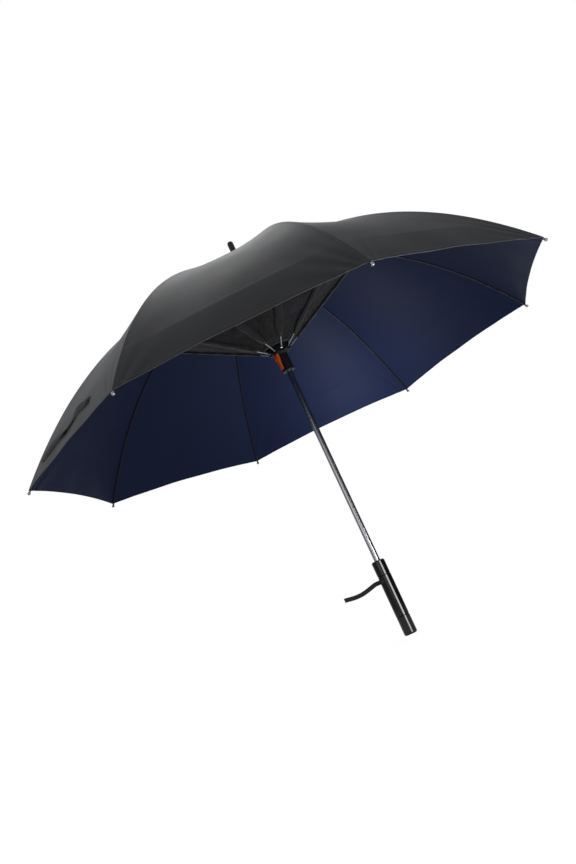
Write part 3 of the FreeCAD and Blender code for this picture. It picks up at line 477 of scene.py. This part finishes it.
class Canopy:
    """The cloth's shape: one continuous surface over the ribs, drawn in by its tension."""

    def __init__(self, sizes):
        self.start, self.open = 0.012, sizes.open_radius
        self.crown, self.rim = sizes.crown_height, sizes.rim_height
        self.overhang, self.scallop = sizes.tip_overhang, sizes.rim_scallop
        self.sag, self.thickness, self.hem = sizes.panel_sag, sizes.cloth_thickness, sizes.hem_width
        stops = [self.start, (self.start + BRACKET_RADIUS) / 2, BRACKET_RADIUS]
        stops += [BRACKET_RADIUS + (self.open - BRACKET_RADIUS) * third / 3 for third in (1, 2, 3)]
        stops = np.array(stops)
        slope = self.slope(stops)
        self.radius = np.diff(stops) / np.diff(np.sin(slope))
        self.centre = stops[:-1] - self.radius * np.sin(slope[:-1])
        falls = self.radius * (np.cos(slope[1:]) - np.cos(slope[:-1]))
        heights = self.crown + np.concatenate([[0.0], np.cumsum(falls)])
        self.height = heights[:-1] - self.radius * np.cos(slope[:-1])
        self.stops = stops

    def slope(self, radius):
        """Downward slope of a rib's line: the crown's share plus a power of the distance out."""
        run = self.open - self.start
        share = np.maximum(radius - self.start, 0) / run
        return np.arctan((self.crown - self.rim) / run * (0.0987 + 0.9013 * 2.57 * share ** 1.57))

    def meridian(self, radius):
        """Height of the cloth over a rib: a chain of tangent arcs."""
        arc = np.clip(np.searchsorted(self.stops, radius, side="left") - 1, 0, len(self.radius) - 1)
        sine = np.clip((radius - self.centre[arc]) / self.radius[arc], -1, 1)
        return self.height[arc] + self.radius[arc] * np.sqrt(1 - sine ** 2)

    def last(self, across):
        """Where the rim lies: nearest the shaft midway between two tips, by a parabola."""
        return self.open - self.overhang - self.scallop * (1 - across ** 2)

    def wrinkles(self, panel, radius, across):
        """Small folds, in metres inwards: a fan of waves from each tip and slack waves near the rim.

        Each wave is a sine of the distance across, faded to nothing at the ribs and away from the tips.
        """
        rng = np.random.default_rng(40 + panel)
        spare = 1 - across ** 2
        near_rim = np.exp(-((self.last(across) - radius) / 0.060) ** 2)
        out = np.zeros_like(radius * across)
        for side in (-1, 1):
            gap = (1 - side * across)
            reach = np.hypot(gap * 0.215, (self.last(across) - radius) * 1.1 + 0.004)
            angle = np.arctan2(gap * 0.215 + 1e-5, (self.last(across) - radius) + 0.020)
            fold, lag, depth = rng.uniform(5.0, 8.0), rng.uniform(0, 6.28), rng.uniform(0.6, 1.25)
            fade = np.exp(-(reach / 0.10) ** 2) * np.minimum(gap * 9, 1)
            out += depth * 0.0004 * np.sin(angle * fold * 2 + lag) * fade
        lag, count = rng.uniform(0, 6.28), rng.uniform(2.2, 3.4)
        out += 0.0007 * near_rim * np.sin(across * count * math.pi + lag) * spare
        lag = rng.uniform(0, 6.28, 3)
        out += 0.0006 * np.sin(radius * 21 + across * 3.1 + lag[0]) * np.sin(across * 2.6 + lag[1]) * spare
        pucker = np.exp(-((1 - np.abs(across)) * radius * 0.3827 / 0.016) ** 2)
        stitches = np.sin(radius * 2 * math.pi / 0.0125 + lag[2] + across)
        out += 0.00009 * pucker * stitches * np.minimum((1 - np.abs(across)) * 40, 1)
        return out

    def point(self, panel, radius, across):
        """Points of a panel centred on +X: level chords between two ribs, pulled in between them.

        The pull is a parabola across the panel and a rising then falling share along it, so each
        panel is saddle-shaped, curving down along its length and in across its width.
        """
        along = np.clip((radius - self.start) / (self.last(across) - self.start), 0, 1)
        pull = self.sag * (1 - across ** 2) * np.sin(np.minimum(along * 1.12, 1) * math.pi) ** 0.8
        pull = pull + self.wrinkles(panel, radius, across) * np.minimum(along * 4, 1)
        lean = self.slope(radius)
        flat = radius * math.cos(HALF_TURN) - pull * np.sin(lean) * 1.0
        height = self.meridian(radius) - pull * np.cos(lean)
        return np.stack([flat, across * radius * math.sin(HALF_TURN), height], -1)

    def normal(self, panel, radius, across):
        """Outward normal: the cross product of the surface's two small differences."""
        step = 2e-4
        along = self.point(panel, radius + step, across) - self.point(panel, radius - step, across)
        aside = step / 0.2
        over = self.point(panel, radius, across + aside) - self.point(panel, radius, across - aside)
        return unit(np.cross(along, over))


def gore_cut(canopy, outer):
    """Flat width, length and area of half a panel, from the rib's arc and the ribs' spacing alone.

    The cut is a strip of half-width r sin(pi / 8) at each length along the rib, without folds, seam or hem.
    """
    end = canopy.open - canopy.overhang - canopy.scallop * 2 / 3 if outer else BRACKET_RADIUS
    radius = np.linspace(BRACKET_RADIUS if outer else canopy.start, end, 400)
    middle = (radius[1:] + radius[:-1]) / 2
    length = np.concatenate([[0], np.cumsum(np.diff(radius) / np.cos(canopy.slope(middle)))])
    width = radius * math.sin(HALF_TURN)
    area = float(((width[1:] + width[:-1]) / 2 * np.diff(length)).sum())
    return (float(width[-1]), float(length[-1])), area


def build_gore(canopy, name, rib, side, outer, materials):
    """Half a panel, from one rib to the panel's middle, on one side of the ribs' knees.

    Two grids of the same surface, the lower one moved in along the normal by the cloth's thickness,
    which grows over the folded hem and the seam, joined round their edges.
    """
    panel = (rib - 1 if side > 0 else rib - 2) % RIBS
    rows, columns = (84, 56) if outer else (56, 34)
    share = np.linspace(0, 1, columns) ** 1.15
    across = -side * (1 - share)[None, :]
    rim = canopy.last(across)
    first = canopy.start if not outer else BRACKET_RADIUS
    row = np.linspace(0, 1, rows)[:, None]
    if outer:
        row = 1 - (1 - row) ** 1.25
    final = rim if outer else np.full_like(rim, BRACKET_RADIUS)
    radius = first + (final - first) * row
    across = np.broadcast_to(across, radius.shape)
    top = canopy.point(panel, radius, across)
    normal = canopy.normal(panel, radius, across)
    from_seam = (1 - np.abs(across)) * radius * math.sin(HALF_TURN)
    from_rim = (canopy.last(across) - radius) / np.cos(canopy.slope(radius))
    hem = np.clip((canopy.hem - from_rim) / 0.0012, 0, 1)
    fold = np.clip((0.0048 - from_seam) / 0.0008, 0, 1)
    deep = canopy.thickness * (1 + 1.3 * np.maximum(hem, fold * 0.9))
    deep = np.where(from_seam < 0.0004, canopy.thickness * 1.4, deep)
    low = top - normal * deep[..., None]
    turn = (panel + 0.5) * 2 * HALF_TURN
    points = swung(np.vstack([top.reshape(-1, 3), low.reshape(-1, 3)]), turn)
    normals = swung(np.vstack([normal.reshape(-1, 3), -normal.reshape(-1, 3)]), turn)
    uv = np.stack([from_seam.ravel(), from_rim.ravel()], -1)
    uv = np.vstack([uv, uv])
    count = rows * columns
    flip = side < 0
    upper = grid_faces(rows, columns, 0, flip)
    lower = grid_faces(rows, columns, count, not flip)
    grid = np.arange(count).reshape(rows, columns)
    edges = []
    for line in (grid[0], grid[:, -1], grid[-1][::-1], grid[:, 0][::-1]):
        strip = np.stack([line[:-1], line[1:], line[1:] + count, line[:-1] + count], -1)
        edges.append(strip[:, ::-1] if flip else strip)
    faces = np.vstack([upper, lower, *edges])
    slots = np.concatenate([np.zeros(len(upper)), np.ones(len(lower)), *[
        np.full(len(e), 2 if outer and k == 2 else 0) for k, e in enumerate(edges)]])
    piece = put_mesh(name, points, faces, materials, slots, uv[faces])
    mesh = piece.data
    loops = normals[faces.ravel()].copy()
    borders = len(upper) + len(lower)
    flat = np.zeros(len(faces) * 3)
    mesh.polygons.foreach_get("normal", flat)
    loops[borders * 4:] = np.repeat(flat.reshape(-1, 3)[borders:], 4, axis=0)
    mesh.normals_split_custom_set(loops)
    return piece


def squash_line(rib, side, along):
    """Axis from a rib along the chord to half a panel's middle, less what lies along the rib."""
    chord = np.array([-math.sin(HALF_TURN) ** 2, side * math.sin(HALF_TURN) * math.cos(HALF_TURN), 0.0])
    axis = chord - along * (chord @ along)
    return swung(unit(axis)[None], (rib - 1) * 2 * HALF_TURN)[0]


def on_rib(points, rib):
    return swung(np.asarray(points, float), (rib - 1) * 2 * HALF_TURN)


# ---- operators -----------------------------------------------------------------------------------

def finishes(context):
    """The finishes, made once and kept by name."""
    colours, sizes = context.scene.umbrella_colours, context.scene.umbrella_sizes
    made = {m.name: m for m in bpy.data.materials}
    if "canopy outside" in made:
        return made
    cloth_finish("canopy outside", colours.outer_cloth, 0.48, 0.10, (0.75, 0.78, 0.85), 0.00012, 0.42)
    cloth_finish("canopy inside", colours.inner_cloth, 0.50, 0.05, (0.45, 0.55, 0.95), 0.00010, 0.10)
    cloth_finish("canopy hem edge", colours.hem_edge, 0.7, 0.2, (0.9, 0.9, 1.0), 0.0001, 0.4)
    net_finish("fan net", colours.net, sizes.net_pitch)
    sleeve_finish("stretcher sleeve", colours.net)
    webbing_finish("wrist webbing", colours.webbing, sizes.strap_width)
    webbing_finish("closing strap webbing", colours.webbing, sizes.tie_width)
    shaft_finish("polished shaft", colours.steel)
    plated_finish("plated fittings", colours.steel)
    rib_finish("rib lacquer", colours.black, colours.steel, 0.5575, True)
    rib_finish("stretcher bar", colours.black, colours.steel, 0.046, False)
    gloss_finish("handle lacquer", colours.black)
    moulded_finish("black moulding", scaled(colours.black, 1.8), 0.42)
    moulded_finish("latch moulding", colours.latch, 0.34, 0.00003)
    moulded_finish("ferrule paint", (0.045, 0.046, 0.050), 0.40)
    moulded_finish("motor shell", colours.motor, 0.48, 0.00008)
    moulded_finish("cell wrap", (0.10, 0.11, 0.13), 0.35)
    moulded_finish("lead sheath", (0.02, 0.02, 0.02), 0.5)
    blade_finish("fan blade moulding", scaled(colours.black, 1.6))
    return {m.name: m for m in bpy.data.materials}


class UMBRELLA_OT_frame_finish(bpy.types.Operator):
    """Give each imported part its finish"""
    bl_idname = "umbrella.frame_finish"
    bl_label = "Finish the metal and moulded parts"

    def execute(self, context):
        made = finishes(context)
        wear = {
            "shaft_tube": "polished shaft", "crown_hub": "black moulding", "crown_pins": "plated fittings",
            "canopy_cap": "black moulding", "ferrule": "ferrule paint", "motor_housing": "motor shell",
            "motor_lead": "lead sheath", "handle_grip": "handle lacquer", "handle_top_collar": "handle lacquer",
            "battery_cap": "handle lacquer", "battery_cell": "cell wrap", "battery_spring": "plated fittings",
            "strap_post": "black moulding", "runner_body": "black moulding", "runner_latch": "latch moulding",
            "latch_pin": "plated fittings", "latch_spring": "plated fittings", "fan_rotor": "black moulding",
            "blade_pins": "plated fittings", "fan_switch_button": "black moulding",
        }
        for name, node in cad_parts.items():
            if name.startswith("rib_outer") or name.startswith("rib_inner"):
                wear[name] = "rib lacquer"
            if name.startswith("stretcher"):
                wear[name] = "stretcher bar"
            if name.startswith("fan_blade"):
                wear[name] = "fan blade moulding"
            if name not in wear:
                continue
            for index in range(max(len(node.data.materials), 1)):
                if len(node.data.materials) <= index:
                    node.data.materials.append(made[wear[name]])
                node.data.materials[index] = made[wear[name]]
        return {"FINISHED"}


class UMBRELLA_OT_canopy(bpy.types.Operator):
    """Make the canopy's cloth, half a panel at a time, on its ribs"""
    bl_idname = "umbrella.canopy"
    bl_label = "Canopy cloth"

    def execute(self, context):
        made = finishes(context)
        cloth = [made["canopy outside"], made["canopy inside"], made["canopy hem edge"]]
        canopy = Canopy(context.scene.umbrella_sizes)
        for rib in range(1, RIBS + 1):
            for side, word in ((1, "left"), (-1, "right")):
                for outer, part in ((False, "inner"), (True, "outer")):
                    name = f"canopy_{part}_{rib}_{word}"
                    piece = build_gore(canopy, name, rib, side, outer, cloth)
                    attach(piece, f"rib_{part}_{rib}")
                    panel = rib if side > 0 else (rib - 2) % RIBS + 1
                    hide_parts(f"canopy_panel_{panel}")
                    middle = np.array([0.41 if outer else 0.14])
                    lean = float(canopy.slope(middle)[0])
                    along = np.array([math.cos(lean), 0, -math.sin(lean)])
                    anchor = on_rib([[middle[0], 0, float(canopy.meridian(middle)[0])]], rib)[0]
                    tuple(squash_line(rib, side, along))
                    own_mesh(piece)
                    size, area = gore_cut(canopy, outer)
        return {"FINISHED"}


class UMBRELLA_OT_net(bpy.types.Operator):
    """Make the fan net's facets and the dark sleeves over the stretchers"""
    bl_idname = "umbrella.net"
    bl_label = "Fan net and stretcher sleeves"

    def execute(self, context):
        made = finishes(context)
        sizes = context.scene.umbrella_sizes
        high = np.array([0.2564, 0.7599])
        along = unit((high - RUNNER_PIN)[None])[0]
        rise = along[1] / along[0]
        direction = np.array([along[0], 0, along[1]])
        for rib in range(1, RIBS + 1):
            for side, word in ((1, "left"), (-1, "right")):
                self.facet(rib, side, word, rise, direction, made["fan net"])
            self.sleeve(rib, direction, high, sizes.sleeve_width, made["stretcher sleeve"])
        return {"FINISHED"}

    def facet(self, rib, side, word, rise, direction, cloth):
        """Half a facet, from the runner's ring out to the ribs; it dips between the stretchers."""
        rows, columns = 34, 14
        radius = np.linspace(0.030, 0.243, rows)[:, None] * np.ones((1, columns))
        across = (-side * (1 - np.linspace(0, 1, columns)))[None, :] * np.ones((rows, 1))
        dip = (1 - across ** 2) * (radius / 0.243) * 0.004
        top = np.stack([radius * math.cos(HALF_TURN), across * radius * math.sin(HALF_TURN),
                        RUNNER_PIN[1] + (radius - RUNNER_PIN[0]) * rise + 0.0030 - dip], -1)
        low = top - np.array([0, 0, 0.0003])
        panel = (rib - 1 if side > 0 else rib - 2) % RIBS
        points = swung(np.vstack([top.reshape(-1, 3), low.reshape(-1, 3)]), (panel + 0.5) * 2 * HALF_TURN)
        count = rows * columns
        flip = side < 0
        grid = np.arange(count).reshape(rows, columns)
        faces = [grid_faces(rows, columns, 0, flip), grid_faces(rows, columns, count, not flip)]
        for line in (grid[0], grid[:, -1], grid[-1][::-1], grid[:, 0][::-1]):
            strip = np.stack([line[:-1], line[1:], line[1:] + count, line[:-1] + count], -1)
            faces.append(strip[:, ::-1] if flip else strip)
        faces = np.vstack(faces)
        uv = np.stack([(across * radius * 0.3827).ravel(), (radius / direction[0]).ravel()], -1)
        piece = put_mesh(f"fan_net_{rib}_{word}", points, faces, [cloth], None, np.vstack([uv, uv])[faces])
        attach(piece, f"stretcher_{rib}")
        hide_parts("fan_guard_net")
        anchor = on_rib([[0.14, 0, RUNNER_PIN[1] + 0.12 * rise + 0.003]], rib)[0]
        tuple(squash_line(rib, side, direction))
        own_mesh(piece)

    def sleeve(self, rib, direction, high, width, cloth):
        """A flattened tube round a stretcher: a superellipse whose width swells and wavers along it."""
        count, sides = 70, 28
        end = np.array([high[0], 0, high[1]])
        start = np.array([RUNNER_PIN[0], 0, RUNNER_PIN[1]])
        share = np.linspace(0, 1, count)[:, None]
        path = start + direction * 0.034 + (end - direction * 0.014 - start - direction * 0.034) * share
        rng = np.random.default_rng(70 + rib)
        lag = rng.uniform(0, 6.28, 3)
        taper = np.minimum(np.minimum(share * 9, (1 - share) * 7), 1) ** 0.5
        waver = 1 + 0.10 * np.sin(share * 23 + lag[0]) + 0.06 * np.sin(share * 51 + lag[1])
        wide = width / 2 * (0.28 + 0.72 * taper) * waver
        deep = 0.0030 * (0.85 + 0.15 * taper) * (1 + 0.10 * np.sin(share * 37 + lag[2]))
        side = np.array([0, 1.0, 0])
        over = np.cross(direction, side)
        ring = rounded_outline(1.0, 1.0, 2.3, sides)
        rings = path[:, None, :] + side * ring[None, :, :1] * wide[:, None, :]
        rings = rings + over * ring[None, :, 1:] * deep[:, None, :]
        points, quads, uv = swept(path, np.tile(side, (count, 1)), np.tile(over, (count, 1)),
                                  rounded_outline(width / 2, 0.003, 2.3, sides))
        points[:count * sides] = rings.reshape(-1, 3)
        piece = put_mesh(f"stretcher_sleeve_{rib}", on_rib(points, rib), quads, [cloth], None, uv)
        turned_out(piece)
        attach(piece, f"stretcher_{rib}")


def turned_out(piece):
    """Make a closed mesh's faces point outwards."""
    work = bmesh.new()
    work.from_mesh(piece.data)
    bmesh.ops.remove_doubles(work, verts=work.verts, dist=1e-7)
    bmesh.ops.recalc_face_normals(work, faces=work.faces)
    work.to_mesh(piece.data)
    work.free()
    piece.data.polygons.foreach_set("use_smooth", np.full(len(piece.data.polygons), True))


class UMBRELLA_OT_wrist_strap(bpy.types.Operator):
    """Make the wrist strap: one band of webbing folded into a loop and stitched at its tab"""
    bl_idname = "umbrella.wrist_strap"
    bl_label = "Wrist strap"

    def execute(self, context):
        made = finishes(context)
        width = context.scene.umbrella_sizes.strap_width
        mid, bend = 0.0147, math.radians(56.0)
        out = np.array([math.sin(bend), -math.cos(bend)])
        leave = np.array([mid + 0.007 - 0.007 * math.cos(bend), -0.009 - 0.007 * math.sin(bend)])
        side = np.array([out[1], -out[0]])
        run = 0.06816
        share = np.linspace(0, 1, 9)[:, None]
        curl = 0.0026 * np.sin(share * math.pi) - 0.0010 * np.sin(share * 2 * math.pi)
        open_by = 0.0006 + 0.0010 * np.sin(share * math.pi * 0.9) ** 0.8
        line = leave + out * (share * (run - 0.003)) + side * curl
        there, back = line + side * open_by, line - side * open_by
        tab = np.array([[mid, 0.0058], [mid, 0.003], [mid, -0.001], [mid, -0.005], [mid, -0.009]])
        lean = np.array([0.0006, 0.0])
        nose = line[-1:] + out * 0.0022
        path = np.vstack([tab + lean, there[1:], nose, back[:0:-1], tab[::-1] - lean])
        path = smooth_path(path, 260)
        far = np.clip(((path - leave) @ out) / run, 0, 1)
        path = np.column_stack([path, 0.112 - 0.0055 * np.sin(far * math.pi) ** 1.2 - 0.004 * far ** 1.5])
        along = unit(np.gradient(path, axis=0))
        over = unit(np.cross(np.array([0, 0, 1.0]), along))
        up = unit(np.cross(along, over))
        points, quads, uv = swept(path, up, over, rounded_outline(width / 2, 0.00055, 5.0, 24))
        points = swung(points, math.radians(162))
        piece = put_mesh("wrist_strap_webbing", points, quads, [made["wrist webbing"]], None, uv)
        turned_out(piece)
        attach(piece, "root")
        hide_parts("wrist_strap")
        return {"FINISHED"}


class UMBRELLA_OT_closing_strap(bpy.types.Operator):
    """Make the closing strap: a loose band along a panel's rim with a snap"""
    bl_idname = "umbrella.closing_strap"
    bl_label = "Closing strap"

    def execute(self, context):
        made = finishes(context)
        sizes = context.scene.umbrella_sizes
        canopy = Canopy(sizes)
        rail = np.array([(0.530, -0.80), (0.533, -0.66), (0.529, -0.50), (0.526, -0.34), (0.528, -0.18),
                         (0.525, -0.02), (0.519, 0.10), (0.521, 0.22), (0.522, 0.37)])
        lift = np.array([0.0016, 0.0020, 0.0034, 0.0022, 0.0028, 0.0022, 0.0036, 0.0026, 0.0016])
        track = smooth_path(np.column_stack([rail, lift]), 150)
        radius, across, rise = track.T
        normal = canopy.normal(3, radius, across)
        path = canopy.point(3, radius, across) + normal * rise[:, None]
        along = unit(np.gradient(path, axis=0))
        twist = 0.25 * np.sin(np.linspace(0, 9.5, len(path)))[:, None]
        over = unit(normal + np.cross(along, normal) * twist)
        side = unit(np.cross(along, over))
        points, quads, uv = swept(path, side, over, rounded_outline(sizes.tie_width / 2, 0.0006, 5.0, 24))
        whole = [(points, quads, uv)]
        spot, face, edge = path[-9], over[-9], side[-9]
        whole.append(self.button(spot + face * 0.0007, face, edge))
        place, start = 3.5 * 2 * HALF_TURN, 0
        joined_points, joined_quads, joined_uv, slots = [], [], [], []
        for index, (p, q, t) in enumerate(whole):
            joined_points.append(p)
            joined_quads.append(q + start)
            joined_uv.append(t)
            slots.append(np.full(len(q), index))
            start += len(p)
        piece = put_mesh("closing_strap", swung(np.vstack(joined_points), place), np.vstack(joined_quads),
                         [made["closing strap webbing"], made["black moulding"]], np.concatenate(slots),
                         np.vstack(joined_uv))
        turned_out(piece)
        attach(piece, "rib_outer_4")
        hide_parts("tie_strap")
        lean = float(canopy.slope(np.array([0.52]))[0])
        line = np.array([math.cos(lean), 0, -math.sin(lean)])
        anchor = on_rib([[0.52, 0, float(canopy.meridian(np.array([0.52]))[0])]], 4)[0]
        tuple(squash_line(4, 1, line))
        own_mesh(piece)
        return {"FINISHED"}

    def button(self, spot, face, edge):
        """A snap's domed cap: a profile of radius and height turned about the band's normal."""
        profile = np.array([(0.0001, 0.0016), (0.0030, 0.0014), (0.0046, 0.0008), (0.0050, 0.0), (0.0050, -0.0008),
                            (0.0001, -0.0008)])
        sides = 24
        angle = np.arange(sides) * 2 * math.pi / sides
        third = np.cross(face, edge)
        ring = edge * np.cos(angle)[:, None] + third * np.sin(angle)[:, None]
        points = (spot + ring[None] * profile[:, None, :1] + face * profile[:, None, 1:]).reshape(-1, 3)
        start = np.arange(len(profile) - 1)[:, None] * sides
        side = np.arange(sides)[None, :]
        after = (side + 1) % sides
        quads = np.stack([start + side, start + sides + side, start + sides + after, start + after], -1)
        quads = quads.reshape(-1, 4)
        return points, quads, np.zeros((len(quads), 4, 2))


class UMBRELLA_OT_stage(bpy.types.Operator):
    """Make the pale floor, the soft lights, the sky and the camera"""
    bl_idname = "umbrella.stage"
    bl_label = "Floor, lights and camera"

    def execute(self, context):
        context.scene.view_settings.view_transform = "Standard"
        self.floor()
        self.sky(context.scene)
        self.light("shaft_box", (-2.64, -0.17, 0.46), (0.0, 0.0, 0.25), (2.5, 0.62), 3.4, -8)
        self.light("handle_strip", (-0.46, -0.80, 0.06), (0.0, 0.0, 0.06), (0.42, 0.26), 3.2, 0)
        self.light("high_right", (0.9, -3.0, 1.9), (0.1, -0.2, 0.75), (1.8, 1.2), 12, 0)
        self.light("high_left", (-2.6, 0.6, 2.6), (0.0, 0.0, 0.75), (1.4, 1.4), 4, 0)
        self.light("top_back", (1.6, 0.9, 2.6), (0.1, 0.0, 0.75), (1.6, 1.6), 12, 0)
        self.light("panel_glow", (0.33, 0.05, 0.42), (0.48, 0.08, 0.62), (0.12, 0.12), 0.40, 0)
        self.camera(context.scene)
        return {"FINISHED"}

    def floor(self):
        """A flat disc of rings whose paleness fades out with distance, so it has no edge."""
        rings, sides = np.concatenate([[1e-3], np.linspace(0.25, 6.0, 24)]), 96
        angle = np.arange(sides) * 2 * math.pi / sides
        points = np.stack([rings[:, None] * np.cos(angle), rings[:, None] * np.sin(angle),
                           np.zeros((len(rings), sides))], -1).reshape(-1, 3)
        start = np.arange(len(rings) - 1)[:, None] * sides
        side = np.arange(sides)[None, :]
        after = (side + 1) % sides
        quads = np.stack([start + side, start + sides + side, start + sides + after, start + after], -1)
        quads = quads.reshape(-1, 4)
        finish = Finish("pale floor", (0.86, 0.86, 0.86), Roughness=0.7)
        x, y, z = finish.place()
        radius = (x * x + y * y) ** 0.5
        finish.feed("Alpha", radius.above(1.7, 2.6) * -0.30 + 0.30)
        finish.feed("Roughness", finish.noise(5.0) * 0.1 + 0.62)
        finish.shader.inputs["Emission Color"].default_value = (1.0, 1.0, 1.0, 1.0)
        finish.shader.inputs["Emission Strength"].default_value = 0.75
        piece = put_mesh("floor", points, quads, [finish.material])

    def sky(self, scene):
        """White to the camera; to the surfaces a dim room, pale behind and above, and dark on one side.

        Its brightness is a base, plus the square of how far a direction points behind the umbrella, plus
        a share of its height, all faded out towards the dark side.
        """
        world = bpy.data.worlds.new("studio")
        scene.world = world
        world.use_nodes = True
        tree = Tree(world.node_tree)
        spot = tree.node("ShaderNodeTexCoord", "Generated")
        x, y, z = [tree.node("ShaderNodeSeparateXYZ", axis, (spot,)) for axis in "XYZ"]
        behind = (x * 0.878 + y * 0.478).made("MAXIMUM", 0.0)
        dark_side = (x * 0.478 - y * 0.878).above(0.42, 0.55)
        above_floor = z.above(-0.25, 0.30)
        glow = (behind * behind * 0.50 + z.made("MAXIMUM", 0.0) * 0.20 + 0.15) * (dark_side * -0.88 + 1.0)
        glow = glow * (above_floor * 0.88 + 0.12)
        pale = (0.97, 0.98, 1.0, 1.0)
        room = tree.node("ShaderNodeBackground", 0, named={"Color": pale, "Strength": glow})
        seen = tree.node("ShaderNodeBackground", 0, named={"Color": (1, 1, 1, 1), "Strength": 1.0})
        ray = tree.node("ShaderNodeLightPath", "Is Camera Ray")
        both = tree.node("ShaderNodeMixShader", 0, (ray, room, seen))
        tree.plug(tree.nodes["World Output"].inputs["Surface"], both)

    def light(self, name, place, aim, size, power, roll):
        """A soft box at a place, aimed at a point, rolled about its own aim by some degrees."""
        lamp = bpy.data.lights.new(name, "AREA")
        lamp.shape, lamp.size, lamp.size_y, lamp.energy = "RECTANGLE", size[0], size[1], power
        thing = bpy.data.objects.new(name, lamp)
        turn = (Vector(aim) - Vector(place)).to_track_quat("-Z", "Y").to_matrix()
        turn = turn @ Matrix.Rotation(math.radians(roll), 3, "Z")
        thing.matrix_world = Matrix.Translation(place) @ turn.to_4x4()
        thing.visible_camera = False
        bpy.context.scene.collection.objects.link(thing)

    def camera(self, scene):
        eye = bpy.data.cameras.new("camera")
        eye.lens, eye.sensor_width, eye.sensor_fit = 38.16, 36.0, "AUTO"
        eye.clip_start, eye.clip_end = 0.02, 60.0
        thing = bpy.data.objects.new("camera", eye)
        right, up = Vector((0.5065, -0.7595, -0.4081)), Vector((0.0422, -0.4509, 0.8916))
        away = right.cross(up)
        turn = Matrix((right, up, away)).transposed()
        thing.matrix_world = Matrix.Translation((-1.6096, -0.8149, 0.0964)) @ turn.to_4x4()
        scene.collection.objects.link(thing)
        scene.camera = thing


class UMBRELLA_PT_panel(bpy.types.Panel):
    bl_label = "Umbrella"
    bl_space_type = "VIEW_3D"
    bl_region_type = "UI"
    bl_category = "Umbrella"

    def draw(self, context):
        for operator in OPERATORS:
            self.layout.operator(operator.bl_idname)
        for group in (context.scene.umbrella_sizes, context.scene.umbrella_colours):
            for name in group.__annotations__:
                self.layout.prop(group, name)


OPERATORS = (UMBRELLA_OT_frame_finish, UMBRELLA_OT_canopy, UMBRELLA_OT_net, UMBRELLA_OT_wrist_strap,
             UMBRELLA_OT_closing_strap, UMBRELLA_OT_stage)
CLASSES = (UmbrellaSizes, UmbrellaColours, *OPERATORS, UMBRELLA_PT_panel)


def register():
    for thing in CLASSES:
        bpy.utils.register_class(thing)
    bpy.types.Scene.umbrella_sizes = bpy.props.PointerProperty(type=UmbrellaSizes)
    bpy.types.Scene.umbrella_colours = bpy.props.PointerProperty(type=UmbrellaColours)


def unregister():
    del bpy.types.Scene.umbrella_sizes, bpy.types.Scene.umbrella_colours
    for thing in reversed(CLASSES):
        bpy.utils.unregister_class(thing)


def main():
    register()
    bpy.ops.umbrella.frame_finish()
    bpy.ops.umbrella.canopy()
    bpy.ops.umbrella.net()
    bpy.ops.umbrella.wrist_strap()
    bpy.ops.umbrella.closing_strap()
    bpy.ops.umbrella.stage()


if __name__ == "__main__":
    main()
